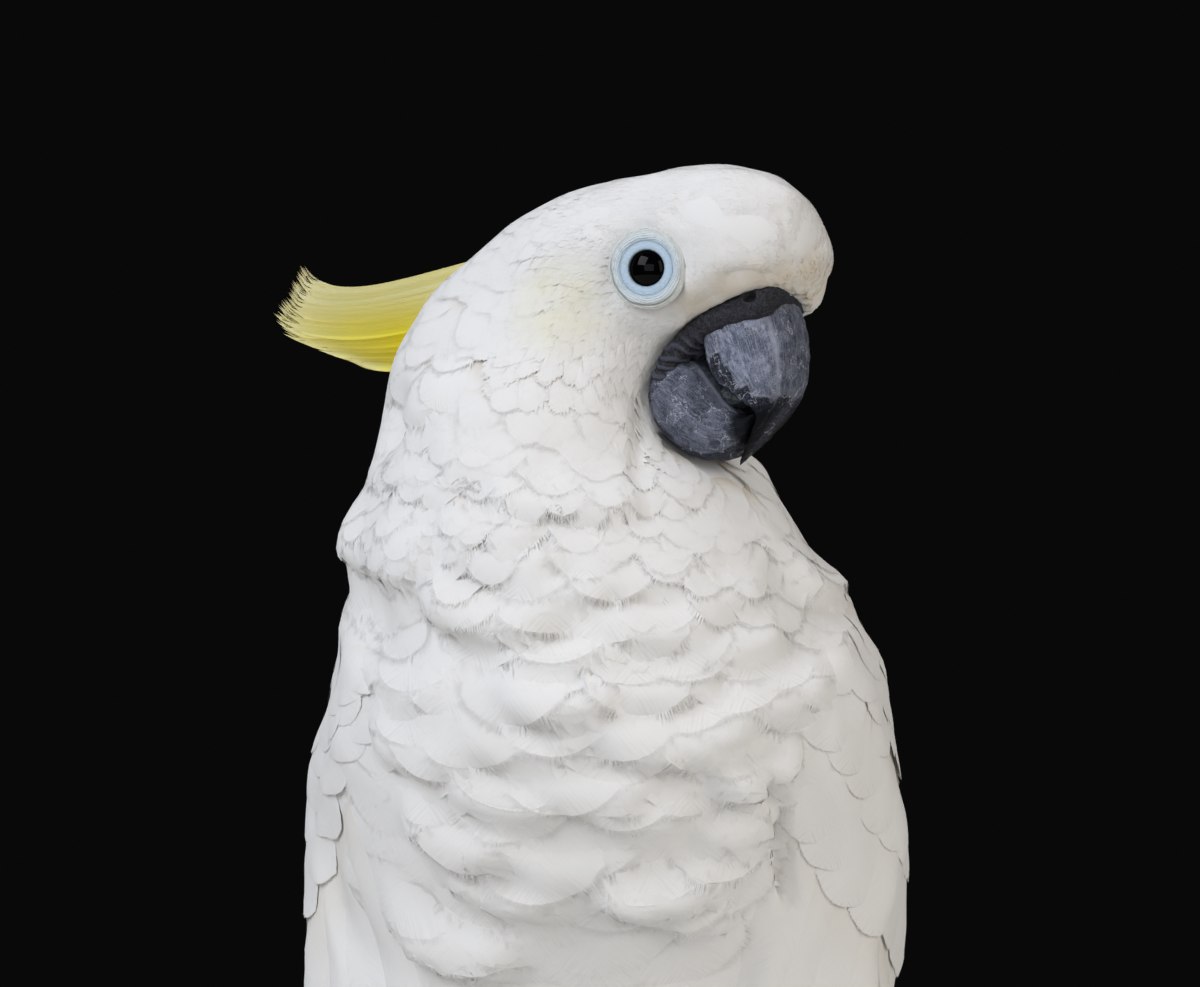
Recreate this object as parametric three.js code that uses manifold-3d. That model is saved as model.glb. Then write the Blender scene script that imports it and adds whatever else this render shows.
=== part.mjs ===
// A sulphur-crested cockatoo, life size, standing upright on a flat floor, its head turned to its left.
// Millimetres, +Z up. The bird faces -Y, its tail lies along +Y, and its left side is towards +X.
// The flesh is one blend of rounded masses, wrapped in rings and parted by thin cuts.
import * as THREE from "three";
import { mergeVertices } from "three/addons/utils/BufferGeometryUtils.js";
import Module from "manifold-3d";

const wasm = await Module();
wasm.setup();

// ---- Driving dimensions ----
const CROWN_HEIGHT = 290; // floor to the top of the head
const EYE_DROP = 25.4; // crown down to the middle of the eyes
const BODY_YAW = -5; // degrees: the breast faces a little to the bird's right
const HEAD_YAW = -30; // degrees: the bill's direction, turned from +X towards -Y
const GAP = 0.35; // clearance between neighbouring solids
const CUT = 0.3; // width of a cut that parts the flesh
const MELT = 10; // how far two masses of flesh melt into each other
const FAR = 400; // larger than the bird

const EYE_RADIUS = 6.2;
const EYE_SIDE = 15.8; // midline to the centre of an eyeball
const EYE_TOE_IN = 14; // degrees: how far the eyes look forward of straight sideways
const PUPIL_OPENING = 4.5; // radius of the opening that the lids leave
const EYE_RING_RADIUS = 9.4; // the bare skin round an eye
const EYE_SOCKET_FLOOR = 2; // from the eyeball's centre outwards to the back of the ring

const WING_DROOP = 25; // how much further forward the left wing's edge hangs than the right's
const COVERT_LIFT = 6.5; // thickness of the folded wing over the flank
const PRIMARY_LIFT = 3; // thickness of the long flight feathers over the tail
const COVERT_STEP = [0.6, 0.72]; // where along the wing the coverts give way to the primaries
const WING_SINK = 3; // how deep the coverts' underside starts, before the flank is cut from it
const PRIMARY_SINK = 0.5; // the same for the primaries
const TAIL_LENGTH = 167;
const TAIL_SLOPE = 20; // degrees below level
const TAIL_FEATHERS = 12;
const TAIL_FEATHER_WIDTH = 26;

const FOOT_SIDE = 23; // midline to the middle of a foot
const FOOT_BACK = 22; // the feet's place along Y

const COLOURS = {
  plumage: 0xf1f0ec,
  flight: 0xeeede9,
  crest: 0xe9dd6a,
  bill: 0x3c3f4a,
  bare: 0x2e2f36,
  eye: 0x0a0908,
  ring: 0xbcd9ea,
  leg: 0x4a4b50,
  claw: 0x2b2b2e,
};

const radians = THREE.MathUtils.degToRad;
const mix = THREE.MathUtils.lerp;
const vector = (x, y, z) => new THREE.Vector3(x, y, z);

// ---- Frames: the body's stands on the floor, the head's has its origin midway between the eyes ----
const bodyFrame = new THREE.Matrix4().makeRotationZ(radians(BODY_YAW));
const headFrame = new THREE.Matrix4()
  .makeRotationZ(radians(HEAD_YAW))
  .setPosition(20.8, -10, CROWN_HEIGHT - EYE_DROP);

const inBody = (x, y, z) => vector(x, y, z).applyMatrix4(bodyFrame);
const inHead = (x, y, z) => vector(x, y, z).applyMatrix4(headFrame);

// ---- Solids ----
function toSolid(geometry) {
  const bare = geometry.index ? geometry.toNonIndexed() : geometry.clone();
  bare.deleteAttribute("normal");
  bare.deleteAttribute("uv");
  const merged = mergeVertices(bare, 1e-4);
  const vertProperties = merged.attributes.position.array;
  const corners = Array.from(merged.index.array);
  const solid = closed(vertProperties, corners);
  return solid.volume() > 0 ? solid : closed(vertProperties, corners.reverse());
}

function closed(vertProperties, corners) {
  const triVerts = new Uint32Array(corners);
  return new wasm.Manifold(new wasm.Mesh({ numProp: 3, vertProperties, triVerts }));
}

function toMesh(name, solid, colour, roughness = 0.8) {
  const { vertProperties, triVerts } = solid.getMesh();
  const geometry = new THREE.BufferGeometry();
  geometry.setAttribute("position", new THREE.BufferAttribute(vertProperties, 3));
  geometry.setIndex(new THREE.BufferAttribute(triVerts, 1));
  geometry.computeVertexNormals();
  const mesh = new THREE.Mesh(geometry, new THREE.MeshStandardMaterial({ color: colour, roughness }));
  mesh.name = name;
  return mesh;
}

/** Everything on the side of a plane that its normal points to. */
function halfSpace(point, normal) {
  const box = new THREE.BoxGeometry(FAR * 2, FAR * 2, FAR * 2).translate(0, 0, FAR);
  const turn = new THREE.Quaternion().setFromUnitVectors(vector(0, 0, 1), normal.clone().normalize());
  return toSolid(box.applyQuaternion(turn).translate(point.x, point.y, point.z));
}

/** A closed form whose rings run from one pole to the other: place(t, angle) gives each point. */
function ringForm(sides, rings, place) {
  const geometry = new THREE.SphereGeometry(1, sides, rings);
  const position = geometry.attributes.position;
  for (let ring = 0; ring <= rings; ring++) {
    const t = ring / rings;
    const pole = place(t, 0).lerp(place(t, Math.PI), 0.5);
    for (let side = 0; side <= sides; side++) {
      const onRing = ring > 0 && ring < rings;
      const point = onRing ? place(t, ((side % sides) / sides) * Math.PI * 2) : pole;
      position.setXYZ(ring * (sides + 1) + side, point.x, point.y, point.z);
    }
  }
  return geometry;
}

/** A tapering limb along a curve; radius(t) is its half width, and floor stops it at the ground. */
function limb(curve, radius, sides, rings, floor = -FAR) {
  const across = vector(0, 0, 0);
  const over = vector(0, 0, 0);
  return ringForm(sides, rings, (t, angle) => {
    const along = curve.getTangent(t);
    across.set(along.y, -along.x, 0.001).normalize();
    over.crossVectors(across, along).normalize();
    const wide = radius(t) * Math.sqrt(Math.max(0, 1 - (2 * t - 1) ** 8));
    const point = curve.getPoint(t);
    point.addScaledVector(across, Math.cos(angle) * wide).addScaledVector(over, Math.sin(angle) * wide);
    point.z = Math.max(point.z, floor);
    return point;
  });
}

/** A feather as a thin lens along a curve: width(t) is its half width, side the way it spreads. */
function vane(curve, width, side, thick, sides, rings) {
  return ringForm(sides, rings, (t, angle) => {
    const along = curve.getTangent(t);
    const across = side.clone().addScaledVector(along, -side.dot(along)).normalize();
    const over = vector(0, 0, 0).crossVectors(along, across);
    const ends = Math.sqrt(Math.max(0, 1 - (2 * t - 1) ** 6));
    return curve
      .getPoint(t)
      .addScaledVector(across, Math.cos(angle) * width(t) * ends)
      .addScaledVector(over, (Math.sin(angle) * thick * ends) / 2);
  });
}

const curveThrough = (points) => new THREE.CatmullRomCurve3(points);
const profile = (points) => curveThrough(points.map(([x, z]) => vector(x, 0, z)));

// ---- Flesh: a blend of rounded masses ----
/** Distance from a point to an ellipsoid that is pitched about its frame's sideways axis. */
function mass(frame, pitchAxis, { at, radii, pitch = 0 }) {
  const own = new THREE.Matrix4().makeRotationAxis(pitchAxis, radians(pitch)).setPosition(...at);
  const toOwn = new THREE.Matrix4().multiplyMatrices(frame, own).invert();
  const [a, b, c] = radii;
  const p = vector(0, 0, 0);
  return (point) => {
    p.copy(point).applyMatrix4(toOwn);
    const near = Math.hypot(p.x / a, p.y / b, p.z / c);
    const slope = Math.hypot(p.x / (a * a), p.y / (b * b), p.z / (c * c));
    return slope > 0 ? (near * (near - 1)) / slope : -Math.min(a, b, c);
  };
}

function blendOf(masses, melt) {
  return (point) =>
    masses
      .map((distance) => distance(point))
      .reduce((a, b) => Math.min(a, b) - (Math.max(melt - Math.abs(a - b), 0) ** 2 / melt) * 0.25);
}

const SIDEWAYS_BODY = vector(1, 0, 0);
const SIDEWAYS_HEAD = vector(0, 1, 0);
const bodyMass = (size) => mass(bodyFrame, SIDEWAYS_BODY, size);
const headMass = (size) => mass(headFrame, SIDEWAYS_HEAD, size);

const trunkMasses = [
  bodyMass({ at: [-0.5, 24, 126], radii: [69.5, 50, 84], pitch: 30 }), // barrel
  bodyMass({ at: [2, -3, 156], radii: [61, 42, 48], pitch: 12 }), // breast
  bodyMass({ at: [3, 16, 175], radii: [56, 34, 32], pitch: 20 }), // shoulders
  bodyMass({ at: [-0.5, 36, 88], radii: [69, 47, 44], pitch: 30 }), // belly
  bodyMass({ at: [0, 84, 62], radii: [29, 52, 20], pitch: -20 }), // vent and tail coverts
];

const neckMasses = [
  bodyMass({ at: [-6, 0, 197], radii: [56, 41, 27] }), // ruff over the shoulders
  bodyMass({ at: [-16.5, 3, 222], radii: [36.5, 35, 32] }), // neck
  bodyMass({ at: [13, 14, 213], radii: [27, 25, 28] }), // throat, behind the bill
  bodyMass({ at: [-20, 12, 240], radii: [30, 27, 27] }), // nape
];

const headMasses = [
  headMass({ at: [-4, 0, 2.5], radii: [29, 19.5, 22] }), // skull
  headMass({ at: [16, 0, 7], radii: [20.5, 17, 16.5] }), // forehead, overhanging the bill
  headMass({ at: [24, 9, -3], radii: [9, 8, 10] }), // fluffed feathers at the far side of the bill
  headMass({ at: [-28, 0, -4], radii: [31, 22, 22], pitch: -18 }), // back of the crown
  headMass({ at: [-27, 8, -20], radii: [16, 14, 19] }), // far cheek
  headMass({ at: [-27, -8, -20], radii: [16, 14, 19] }), // near cheek
];

const flesh = blendOf([...trunkMasses, ...neckMasses, ...headMasses], MELT);

// ---- Cuts that part the flesh, and the piece of it that each wrap follows ----
const NECK_BASE = { point: inBody(-8, 3, 192), normal: vector(0.02, -0.04, 1).normalize() };
const HEAD_BASE = { point: vector(-5, 6, 232), normal: vector(0.3, -0.06, 1).normalize() };
const OVERRUN = 5; // how far a wrap runs past the cut that ends it

/** The solid on one side of a cut (+1 is up), half the cut's width from it. */
function beyond({ point, normal }, sign) {
  const way = normal.clone().multiplyScalar(sign);
  return halfSpace(point.clone().addScaledVector(way, CUT / 2), way);
}

/** The field, ended somewhat past a cut; sign +1 keeps what lies above it. */
function ended(field, { point, normal }, sign, past) {
  const level = point.dot(normal);
  return (p) => Math.max(field(p), (level - p.dot(normal)) * sign - past);
}

const offCut = ({ point, normal }, distance) => point.clone().addScaledVector(normal, distance);

/** How far from a point inside, going one way, the field reaches a value. */
function reachOf(field, from, way, value) {
  const step = 2.5;
  const probe = vector(0, 0, 0);
  const at = (r) => field(probe.copy(from).addScaledVector(way, r)) - value;
  let outside = step;
  while (at(outside) < 0 && outside < FAR) outside += step;
  let inside = outside - step;
  for (let i = 0; i < 12; i++) {
    const middle = (inside + outside) / 2;
    if (at(middle) < 0) inside = middle;
    else outside = middle;
  }
  return inside;
}

/** Wraps a field in rings round a spine, with a fan of rings over its start and one over its end. */
function wrap(field, spine, { sides, start, middle, end }, grow = 0) {
  const rings = start + middle + end;
  return ringForm(sides, rings, (t, angle) => {
    const ring = Math.round(t * rings);
    const s = Math.min(Math.max((ring - start) / middle, 0), 1);
    const before = Math.max(start - ring, 0) / start;
    const after = Math.max(ring - start - middle, 0) / end;
    const lean = ((after - before) * Math.PI) / 2;
    const along = spine.getTangentAt(s);
    const right = vector(1, 0, 0).addScaledVector(along, -along.x).normalize();
    const front = vector(0, 0, 0).crossVectors(right, along);
    const way = right.multiplyScalar(Math.cos(angle)).addScaledVector(front, Math.sin(angle));
    way.multiplyScalar(Math.cos(lean)).addScaledVector(along, Math.sin(lean));
    const from = spine.getPointAt(s);
    return from.addScaledVector(way, reachOf(field, from, way, grow));
  });
}

const trunkSpine = curveThrough([
  inBody(0, 74, 64),
  inBody(0, 40, 96),
  inBody(0, 19, 130),
  inBody(0, 6, 163),
  inBody(0, 3.5, 183),
  inBody(0, 3, 194.5),
]);
const neckSpine = curveThrough([
  offCut(NECK_BASE, -OVERRUN / 2),
  offCut(NECK_BASE, 9),
  offCut(HEAD_BASE, -9),
  offCut(HEAD_BASE, OVERRUN / 2),
]);
const headSpine = curveThrough([inHead(-34, 0, -17), inHead(-16, 0, -11), inHead(2, 0, -4)]);

const trunkField = ended(flesh, NECK_BASE, -1, OVERRUN);
const neckField = ended(ended(flesh, NECK_BASE, 1, OVERRUN), HEAD_BASE, -1, OVERRUN);
const headField = ended(flesh, HEAD_BASE, 1, OVERRUN * 4);

const TRUNK_RINGS = { sides: 26, start: 5, middle: 11, end: 2 };
const NECK_RINGS = { sides: 28, start: 2, middle: 5, end: 2 };
const HEAD_RINGS = { sides: 28, start: 4, middle: 5, end: 7 };

const trunkForm = (grow) => toSolid(wrap(trunkField, trunkSpine, TRUNK_RINGS, grow));
const neckForm = (grow) => toSolid(wrap(neckField, neckSpine, NECK_RINGS, grow));
const headForm = (grow) => toSolid(wrap(headField, headSpine, HEAD_RINGS, grow));

const fleshGrown = trunkForm(GAP).add(neckForm(GAP));

// ---- Bill, in the head's frame ----
/** A horn form: round along its outer profile, square along its inner one, width(t) its half width. */
function horn(outer, inner, width, sides, rings, grow = 0) {
  return ringForm(sides, rings, (t, angle) => {
    const rim = outer.getPoint(t);
    const edge = inner.getPoint(t);
    const deep = edge.distanceTo(rim) / 2 + grow;
    const outward = rim.clone().sub(edge).normalize();
    const across = Math.sin(angle);
    const out = Math.cos(angle);
    const reach = out > 0 ? out * deep : -deep * Math.abs(out) ** 0.4;
    const middle = rim.add(edge).multiplyScalar(0.5).addScaledVector(outward, reach);
    return inHead(middle.x, Math.sign(across) * Math.abs(across) ** 0.75 * (width(t) + grow), middle.z);
  });
}

const culmen = profile([
  [20, -4],
  [28, -5],
  [32, -11],
  [33.7, -20],
  [32.2, -30],
  [27, -39.4],
  [16, -46.8],
]);
const upperEdge = profile([
  [9, -12],
  [7.6, -15],
  [8.7, -20.5],
  [11.5, -26.4],
  [18, -31.2],
  [22.4, -35.5],
  [15.2, -46.4],
]);
const keel = profile([
  [-5, -29],
  [-5.5, -37],
  [-1, -43],
  [6, -46.4],
  [13, -46],
  [19, -41.4],
  [22.6, -34.8],
]);
const lowerEdge = profile([
  [-2, -22],
  [1, -21.4],
  [6, -21.8],
  [10.5, -26.8],
  [14.4, -32.2],
  [18.4, -35],
  [22.2, -34],
]);
const skinBack = profile([[30, -2], [20, -4], [10, -8.5], [2, -15], [-4, -22.5], [-7, -33]]);
const skinFront = profile([[29, -11], [24, -13], [13, -16], [8, -21], [5, -28], [2, -38]]);

const upperWidth = (t) => mix(10.6, 0.7, Math.max(0, (t - 0.35) / 0.65) ** 1.6);
const lowerWidth = (t) => mix(10.8, 5.5, Math.max(0, (t - 0.4) / 0.6) ** 1.5);
const skinWidth = (t) => mix(9.5, 11.8, Math.sin(t * Math.PI) ** 0.6);

const upperBillForm = (grow) => toSolid(horn(culmen, upperEdge, upperWidth, 12, 11, grow));
const lowerBillForm = (grow) => toSolid(horn(keel, lowerEdge, lowerWidth, 12, 9, grow));
const billSkinForm = (grow) => toSolid(horn(skinBack, skinFront, skinWidth, 10, 7, grow));

function ball(at, radii, sides, rings, grow = 0) {
  const [a, b, c] = radii.map((r) => r + grow);
  const sphere = new THREE.SphereGeometry(1, sides, rings).scale(a, b, c).translate(...at);
  return toSolid(sphere.applyMatrix4(headFrame));
}

const NOSTRIL = { at: [23.5, 8.4, -5.5], radius: 1.7 };
const nostrilForm = (side) => {
  const [x, y, z] = NOSTRIL.at;
  return ball([x, side * y, z], [NOSTRIL.radius * 1.4, NOSTRIL.radius, NOSTRIL.radius], 6, 4);
};

const tongueForm = (grow) => ball([14, 0, -30.5], [7, 5, 3.4], 7, 5, grow);

// ---- Eyes ----
/** Sets a geometry whose +Z points out of the eye on one side (+1 is the bird's left). */
function atEye(geometry, side) {
  const toeIn = radians(EYE_TOE_IN);
  const look = vector(Math.sin(toeIn), side * Math.cos(toeIn), 0.05).normalize();
  const turn = new THREE.Quaternion().setFromUnitVectors(vector(0, 0, 1), look);
  geometry.applyQuaternion(turn).translate(0, side * EYE_SIDE, 0);
  return toSolid(geometry.applyMatrix4(headFrame));
}

const eyeballForm = (side, grow) => atEye(new THREE.SphereGeometry(EYE_RADIUS + grow, 12, 7), side);

/** The ring of bare skin: a closed profile turned round the eye's axis, clear of the eyeball. */
function eyeRingForm(side) {
  const lid = Math.sqrt((EYE_RADIUS + GAP) ** 2 - PUPIL_OPENING ** 2);
  const rim = [
    [PUPIL_OPENING, lid],
    [PUPIL_OPENING + 0.1, lid + 0.5],
    [6.4, lid + 1.1],
    [EYE_RING_RADIUS - 1.2, lid + 0.7],
    [EYE_RING_RADIUS, lid - 0.7],
    [EYE_RADIUS + 0.6, EYE_SOCKET_FLOOR + GAP],
  ];
  const outline = [...rim, rim[0]].map(([r, z]) => new THREE.Vector2(r, -z));
  return atEye(new THREE.LatheGeometry(outline, 16).rotateX(-Math.PI / 2), side);
}

/** The hollow in the head that holds an eyeball and its ring. */
function eyeSocketForm(side) {
  const depth = 12;
  const wide = EYE_RING_RADIUS + GAP;
  const well = new THREE.CylinderGeometry(wide, wide, depth, 16).rotateX(Math.PI / 2);
  well.translate(0, 0, EYE_SOCKET_FLOOR + depth / 2);
  return atEye(well, side).add(eyeballForm(side, GAP));
}

// ---- Crest: long plumes that lie back from the crown and curl up at the tip ----
const CREST_PLUMES = 6;
const crestTips = profile([[-108, 1], [-114.5, -8], [-113, -15], [-101, -20]]);

function crestForm() {
  let crest = null;
  for (let i = 0; i < CREST_PLUMES; i++) {
    const k = i / (CREST_PLUMES - 1);
    const lean = (i % 2 ? 1 : -1) * 3 * k;
    const tip = crestTips.getPoint(k);
    const plume = curveThrough([
      inHead(-46, lean, mix(2, -10, k)),
      inHead(mix(-66, -70, k), lean, mix(-6, -17, k)),
      inHead(mix(-86, -82, k), lean * 1.4, mix(-11, -20, k)),
      inHead(mix(-100, -91, k), lean * 1.6, mix(-8.5, -21, k)),
      inHead(tip.x, lean * 1.8, tip.z),
    ]);
    const width = (t) => mix(4.5, 6, t) * Math.sqrt(1 - Math.max(0, t - 0.5) * 1.2);
    const side = vector(0, 0, 1).applyAxisAngle(vector(1, 0, 0), 0.25 * (i % 3) - 0.25);
    const solid = toSolid(vane(plume, width, side, 2.6, 6, 5));
    crest = crest ? crest.add(solid) : solid;
  }
  return crest;
}

// ---- Wings: thin shields that lie on the flanks and run out over the tail ----
const tailBed = bodyMass({ at: [0, 130, 30], radii: [25, 92, 8], pitch: -TAIL_SLOPE });
const wingBed = blendOf([...trunkMasses, ...neckMasses, tailBed], MELT);

const alongWing = (points) => (side) => curveThrough(points.map(([x, y, z]) => inBody(side * x, y, z)));
const wingLower = alongWing([
  [50, -34, 176],
  [60, -14, 148],
  [62, 14, 120],
  [51, 5, 92],
  [46, 32, 66],
  [34, 84, 50],
  [22, 136, 37],
  [10, 186, 21],
]);
const wingUpper = alongWing([
  [40, 6, 195],
  [32, 40, 178],
  [22, 70, 150],
  [14, 88, 118],
  [9, 106, 90],
  [7, 128, 70],
  [6, 156, 50],
  [5, 188, 25],
]);
const wingCore = alongWing([
  [0, 0, 180],
  [0, 10, 160],
  [0, 24, 136],
  [0, 42, 108],
  [0, 62, 82],
  [0, 100, 54],
  [0, 144, 27],
  [0, 186, 9],
]);

/** A folded wing on one side (+1 is the bird's left): coverts over the longer primaries. */
function wingForm(side) {
  const droop = inBody(-0.65 * side, -1, 0).multiplyScalar(side > 0 ? WING_DROOP : 0);
  const lower = wingLower(side);
  const upper = wingUpper(side);
  const core = wingCore(side);
  return toSolid(
    ringForm(12, 15, (t, angle) => {
      const ends = Math.sqrt(Math.max(0, 1 - (2 * t - 1) ** 10));
      const across = 0.5 - (Math.cos(angle) / 2) * ends;
      const outer = Math.max(Math.sin(angle), 0) ** 0.6 * ends;
      const past = THREE.MathUtils.smoothstep(t, ...COVERT_STEP);
      const under = -mix(WING_SINK, PRIMARY_SINK, past);
      const level = mix(under, mix(COVERT_LIFT, PRIMARY_LIFT, past), outer);
      const sag = Math.sin(Math.PI * Math.min(t * 1.25, 1));
      const from = core.getPoint(t);
      const way = lower.getPoint(t).addScaledVector(droop, sag).sub(from).normalize();
      const back = upper.getPoint(t).sub(from).normalize();
      const sweep = new THREE.Quaternion().setFromUnitVectors(way, back);
      way.applyQuaternion(new THREE.Quaternion().slerp(sweep, across));
      return from.addScaledVector(way, reachOf(wingBed, from.clone(), way, level));
    }),
  );
}

// ---- Tail: twelve feathers fanned and stacked, the middle pair on top ----
const TAIL_ROOT = { y: 76, z: 56 };
const TAIL_FEATHER_THICKNESS = 1.3;
const TAIL_FAN = 1.55; // degrees between neighbouring feathers
const TAIL_STACK = 3.2; // how far the outermost feathers lie below the middle pair

/** One tail feather lying flat, its root at the origin and its rounded tip along +Y. */
function tailFeather() {
  const half = TAIL_FEATHER_WIDTH / 2;
  const shoulder = TAIL_LENGTH - 9;
  const blade = new THREE.Shape();
  blade.moveTo(-half * 0.7, 0).lineTo(half * 0.7, 0).lineTo(half, shoulder);
  blade.lineTo(half * 0.5, TAIL_LENGTH).lineTo(-half * 0.5, TAIL_LENGTH).lineTo(-half, shoulder);
  return new THREE.ExtrudeGeometry(blade, { depth: TAIL_FEATHER_THICKNESS, bevelEnabled: false });
}

function tailForm() {
  let tail = null;
  for (let i = 0; i < TAIL_FEATHERS; i++) {
    const place = i - (TAIL_FEATHERS - 1) / 2;
    const outward = Math.abs(place) / (TAIL_FEATHERS / 2);
    const feather = tailFeather().scale(1, 1 - outward * 0.05, 1);
    feather.rotateY(-place * 0.05);
    feather.rotateZ(radians(-place * TAIL_FAN));
    feather.translate(place * 1.5, 0, -outward * TAIL_STACK);
    const solid = toSolid(feather);
    tail = tail ? tail.add(solid) : solid;
  }
  const slope = new THREE.Matrix4().makeRotationX(radians(-TAIL_SLOPE));
  slope.setPosition(0, TAIL_ROOT.y, TAIL_ROOT.z);
  return tail.transform(new THREE.Matrix4().multiplyMatrices(bodyFrame, slope).toArray());
}

// ---- Legs: feathered thighs, scaled tarsi and feet with two toes forward and two back ----
const TOES = [
  { heading: 205, length: 15, claw: 10 }, // inner hind toe
  { heading: 18, length: 24, claw: 12 }, // inner front toe
  { heading: -14, length: 35, claw: 13 }, // outer front toe
  { heading: 154, length: 29, claw: 12 }, // outer hind toe
];
const TOE_HEIGHT = 3.5;
const TOE_RADIUS = 4.1;
const TOE_PAD_LENGTH = 9;
const TOE_PAD_SWELL = 0.1; // a share of the toe's radius

const THIGH_RINGS = { sides: 12, start: 2, middle: 4, end: 2 };

const thighForm = (side, grow) => {
  const thigh = bodyMass({ at: [side * (FOOT_SIDE + 2), 38, 62], radii: [19, 23, 34], pitch: -6 });
  const shin = bodyMass({ at: [side * FOOT_SIDE, 37, 38], radii: [11, 12, 18], pitch: -6 });
  const spine = curveThrough([inBody(side * FOOT_SIDE, 37, 36), inBody(side * FOOT_SIDE, 38, 66)]);
  return toSolid(wrap(blendOf([thigh, shin], MELT), spine, THIGH_RINGS, grow));
};

/** A toe's way over the floor, in the body's frame: heading 0 is forward, positive is inward. */
function toeWay(side, { heading }) {
  const turn = radians(heading);
  return vector(-side * Math.sin(turn), -Math.cos(turn), 0);
}

function toePoint(side, toe, reach, height) {
  const way = toeWay(side, toe);
  return inBody(side * FOOT_SIDE + way.x * reach, FOOT_BACK + way.y * reach, height);
}

function footForm(side) {
  const tarsus = curveThrough([
    inBody(side * FOOT_SIDE, 38, 32),
    inBody(side * FOOT_SIDE, 33, 20),
    inBody(side * FOOT_SIDE, FOOT_BACK, 5),
  ]);
  let foot = toSolid(limb(tarsus, (t) => mix(4.6, 5.8, t), 6, 4, 0));
  for (const toe of TOES) {
    const curve = curveThrough([
      toePoint(side, toe, -1, 6),
      toePoint(side, toe, toe.length * 0.35, TOE_HEIGHT + 1),
      toePoint(side, toe, toe.length * 0.75, TOE_HEIGHT),
      toePoint(side, toe, toe.length + 2, TOE_HEIGHT - 0.2),
    ]);
    const pads = Math.round(toe.length / TOE_PAD_LENGTH);
    const taper = (t) => mix(TOE_RADIUS + 0.6, TOE_RADIUS - 0.8, t);
    const radius = (t) => taper(t) * (1 - TOE_PAD_SWELL * Math.cos(t * pads * Math.PI * 2));
    foot = foot.add(toSolid(limb(curve, radius, 6, 5, 0)));
  }
  return foot;
}

function clawForm(side, toe, grow) {
  const curve = curveThrough([
    toePoint(side, toe, toe.length - 1.5, TOE_HEIGHT + 0.3),
    toePoint(side, toe, toe.length + toe.claw * 0.4, TOE_HEIGHT + 1.6),
    toePoint(side, toe, toe.length + toe.claw * 0.8, TOE_HEIGHT - 0.2),
    toePoint(side, toe, toe.length + toe.claw, 0.7),
  ]);
  return toSolid(limb(curve, (t) => mix(2.4, 0.35, t) + grow, 5, 5, 0));
}

// ---- Assembly ----
const bird = new THREE.Group();
const add = (name, solid, colour, roughness) => bird.add(toMesh(name, solid, colour, roughness));
const less = (solid, pieces) => pieces.reduce((rest, piece) => rest.subtract(piece), solid);
const SIDES = { left: 1, right: -1 };

const bill = [upperBillForm(GAP), lowerBillForm(GAP), billSkinForm(GAP)];
const sockets = [eyeSocketForm(1), eyeSocketForm(-1)];
const tailWhole = tailForm();
const tailGrown = tailWhole.translate([0, 0, GAP]).add(tailWhole);

for (const [name, side] of Object.entries(SIDES)) {
  add(`${name}_eye`, eyeballForm(side, 0), COLOURS.eye, 0.05);
  add(`${name}_eye_ring`, eyeRingForm(side), COLOURS.ring, 0.6);

  add(`${name}_thigh`, thighForm(side, 0).subtract(fleshGrown), COLOURS.plumage);
  let foot = footForm(side).subtract(thighForm(side, GAP));
  TOES.forEach((toe, i) => {
    foot = foot.subtract(clawForm(side, toe, GAP));
    add(`${name}_claw_${i + 1}`, clawForm(side, toe, 0), COLOURS.claw, 0.4);
  });
  add(`${name}_foot`, foot, COLOURS.leg, 0.7);

  const wingBeds = [fleshGrown, tailGrown, thighForm(side, GAP)];
  add(`${name}_wing`, less(wingForm(side), wingBeds), COLOURS.flight);
}

const headBlock = headForm(0).intersect(beyond(HEAD_BASE, 1));
const neckBlock = neckForm(0).intersect(beyond(HEAD_BASE, -1)).intersect(beyond(NECK_BASE, 1));
add("head", less(headBlock, [...bill, ...sockets]), COLOURS.plumage);
add("neck", less(neckBlock, bill), COLOURS.plumage);
add("trunk", trunkForm(0).intersect(beyond(NECK_BASE, -1)), COLOURS.plumage);
const aboveFloor = halfSpace(vector(0, 0, 0), vector(0, 0, 1));
add("tail", tailWhole.subtract(fleshGrown).intersect(aboveFloor), COLOURS.flight);
add("crest", less(crestForm(), [headForm(GAP), neckForm(GAP)]), COLOURS.crest);

const [upperGrown, lowerGrown, skinGrown] = bill;
add("upper_bill", upperBillForm(0), COLOURS.bill, 0.5);
add("lower_bill", lowerBillForm(0).subtract(upperGrown), COLOURS.bill, 0.5);
const billSkin = less(billSkinForm(0), [upperGrown, lowerGrown, nostrilForm(1), nostrilForm(-1)]);
add("bill_skin", billSkin, COLOURS.bare, 0.8);
add("tongue", less(tongueForm(0), [upperGrown, lowerGrown, skinGrown]), COLOURS.bare, 0.5);

// The origin is the middle of the bird's outline on the floor.
const extent = new THREE.Box3().setFromObject(bird);
const middle = extent.getCenter(vector(0, 0, 0));
bird.position.set(-middle.x, -middle.y, -extent.min.z);

export default bird;
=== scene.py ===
"""A sulphur-crested cockatoo, life size: skin, plumage, crest, bill, eyes, feet, camera and light."""

import math

import bmesh
import bpy
import numpy as np
from mathutils import Matrix, Vector
from mathutils.bvhtree import BVHTree
from mathutils.kdtree import KDTree


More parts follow.
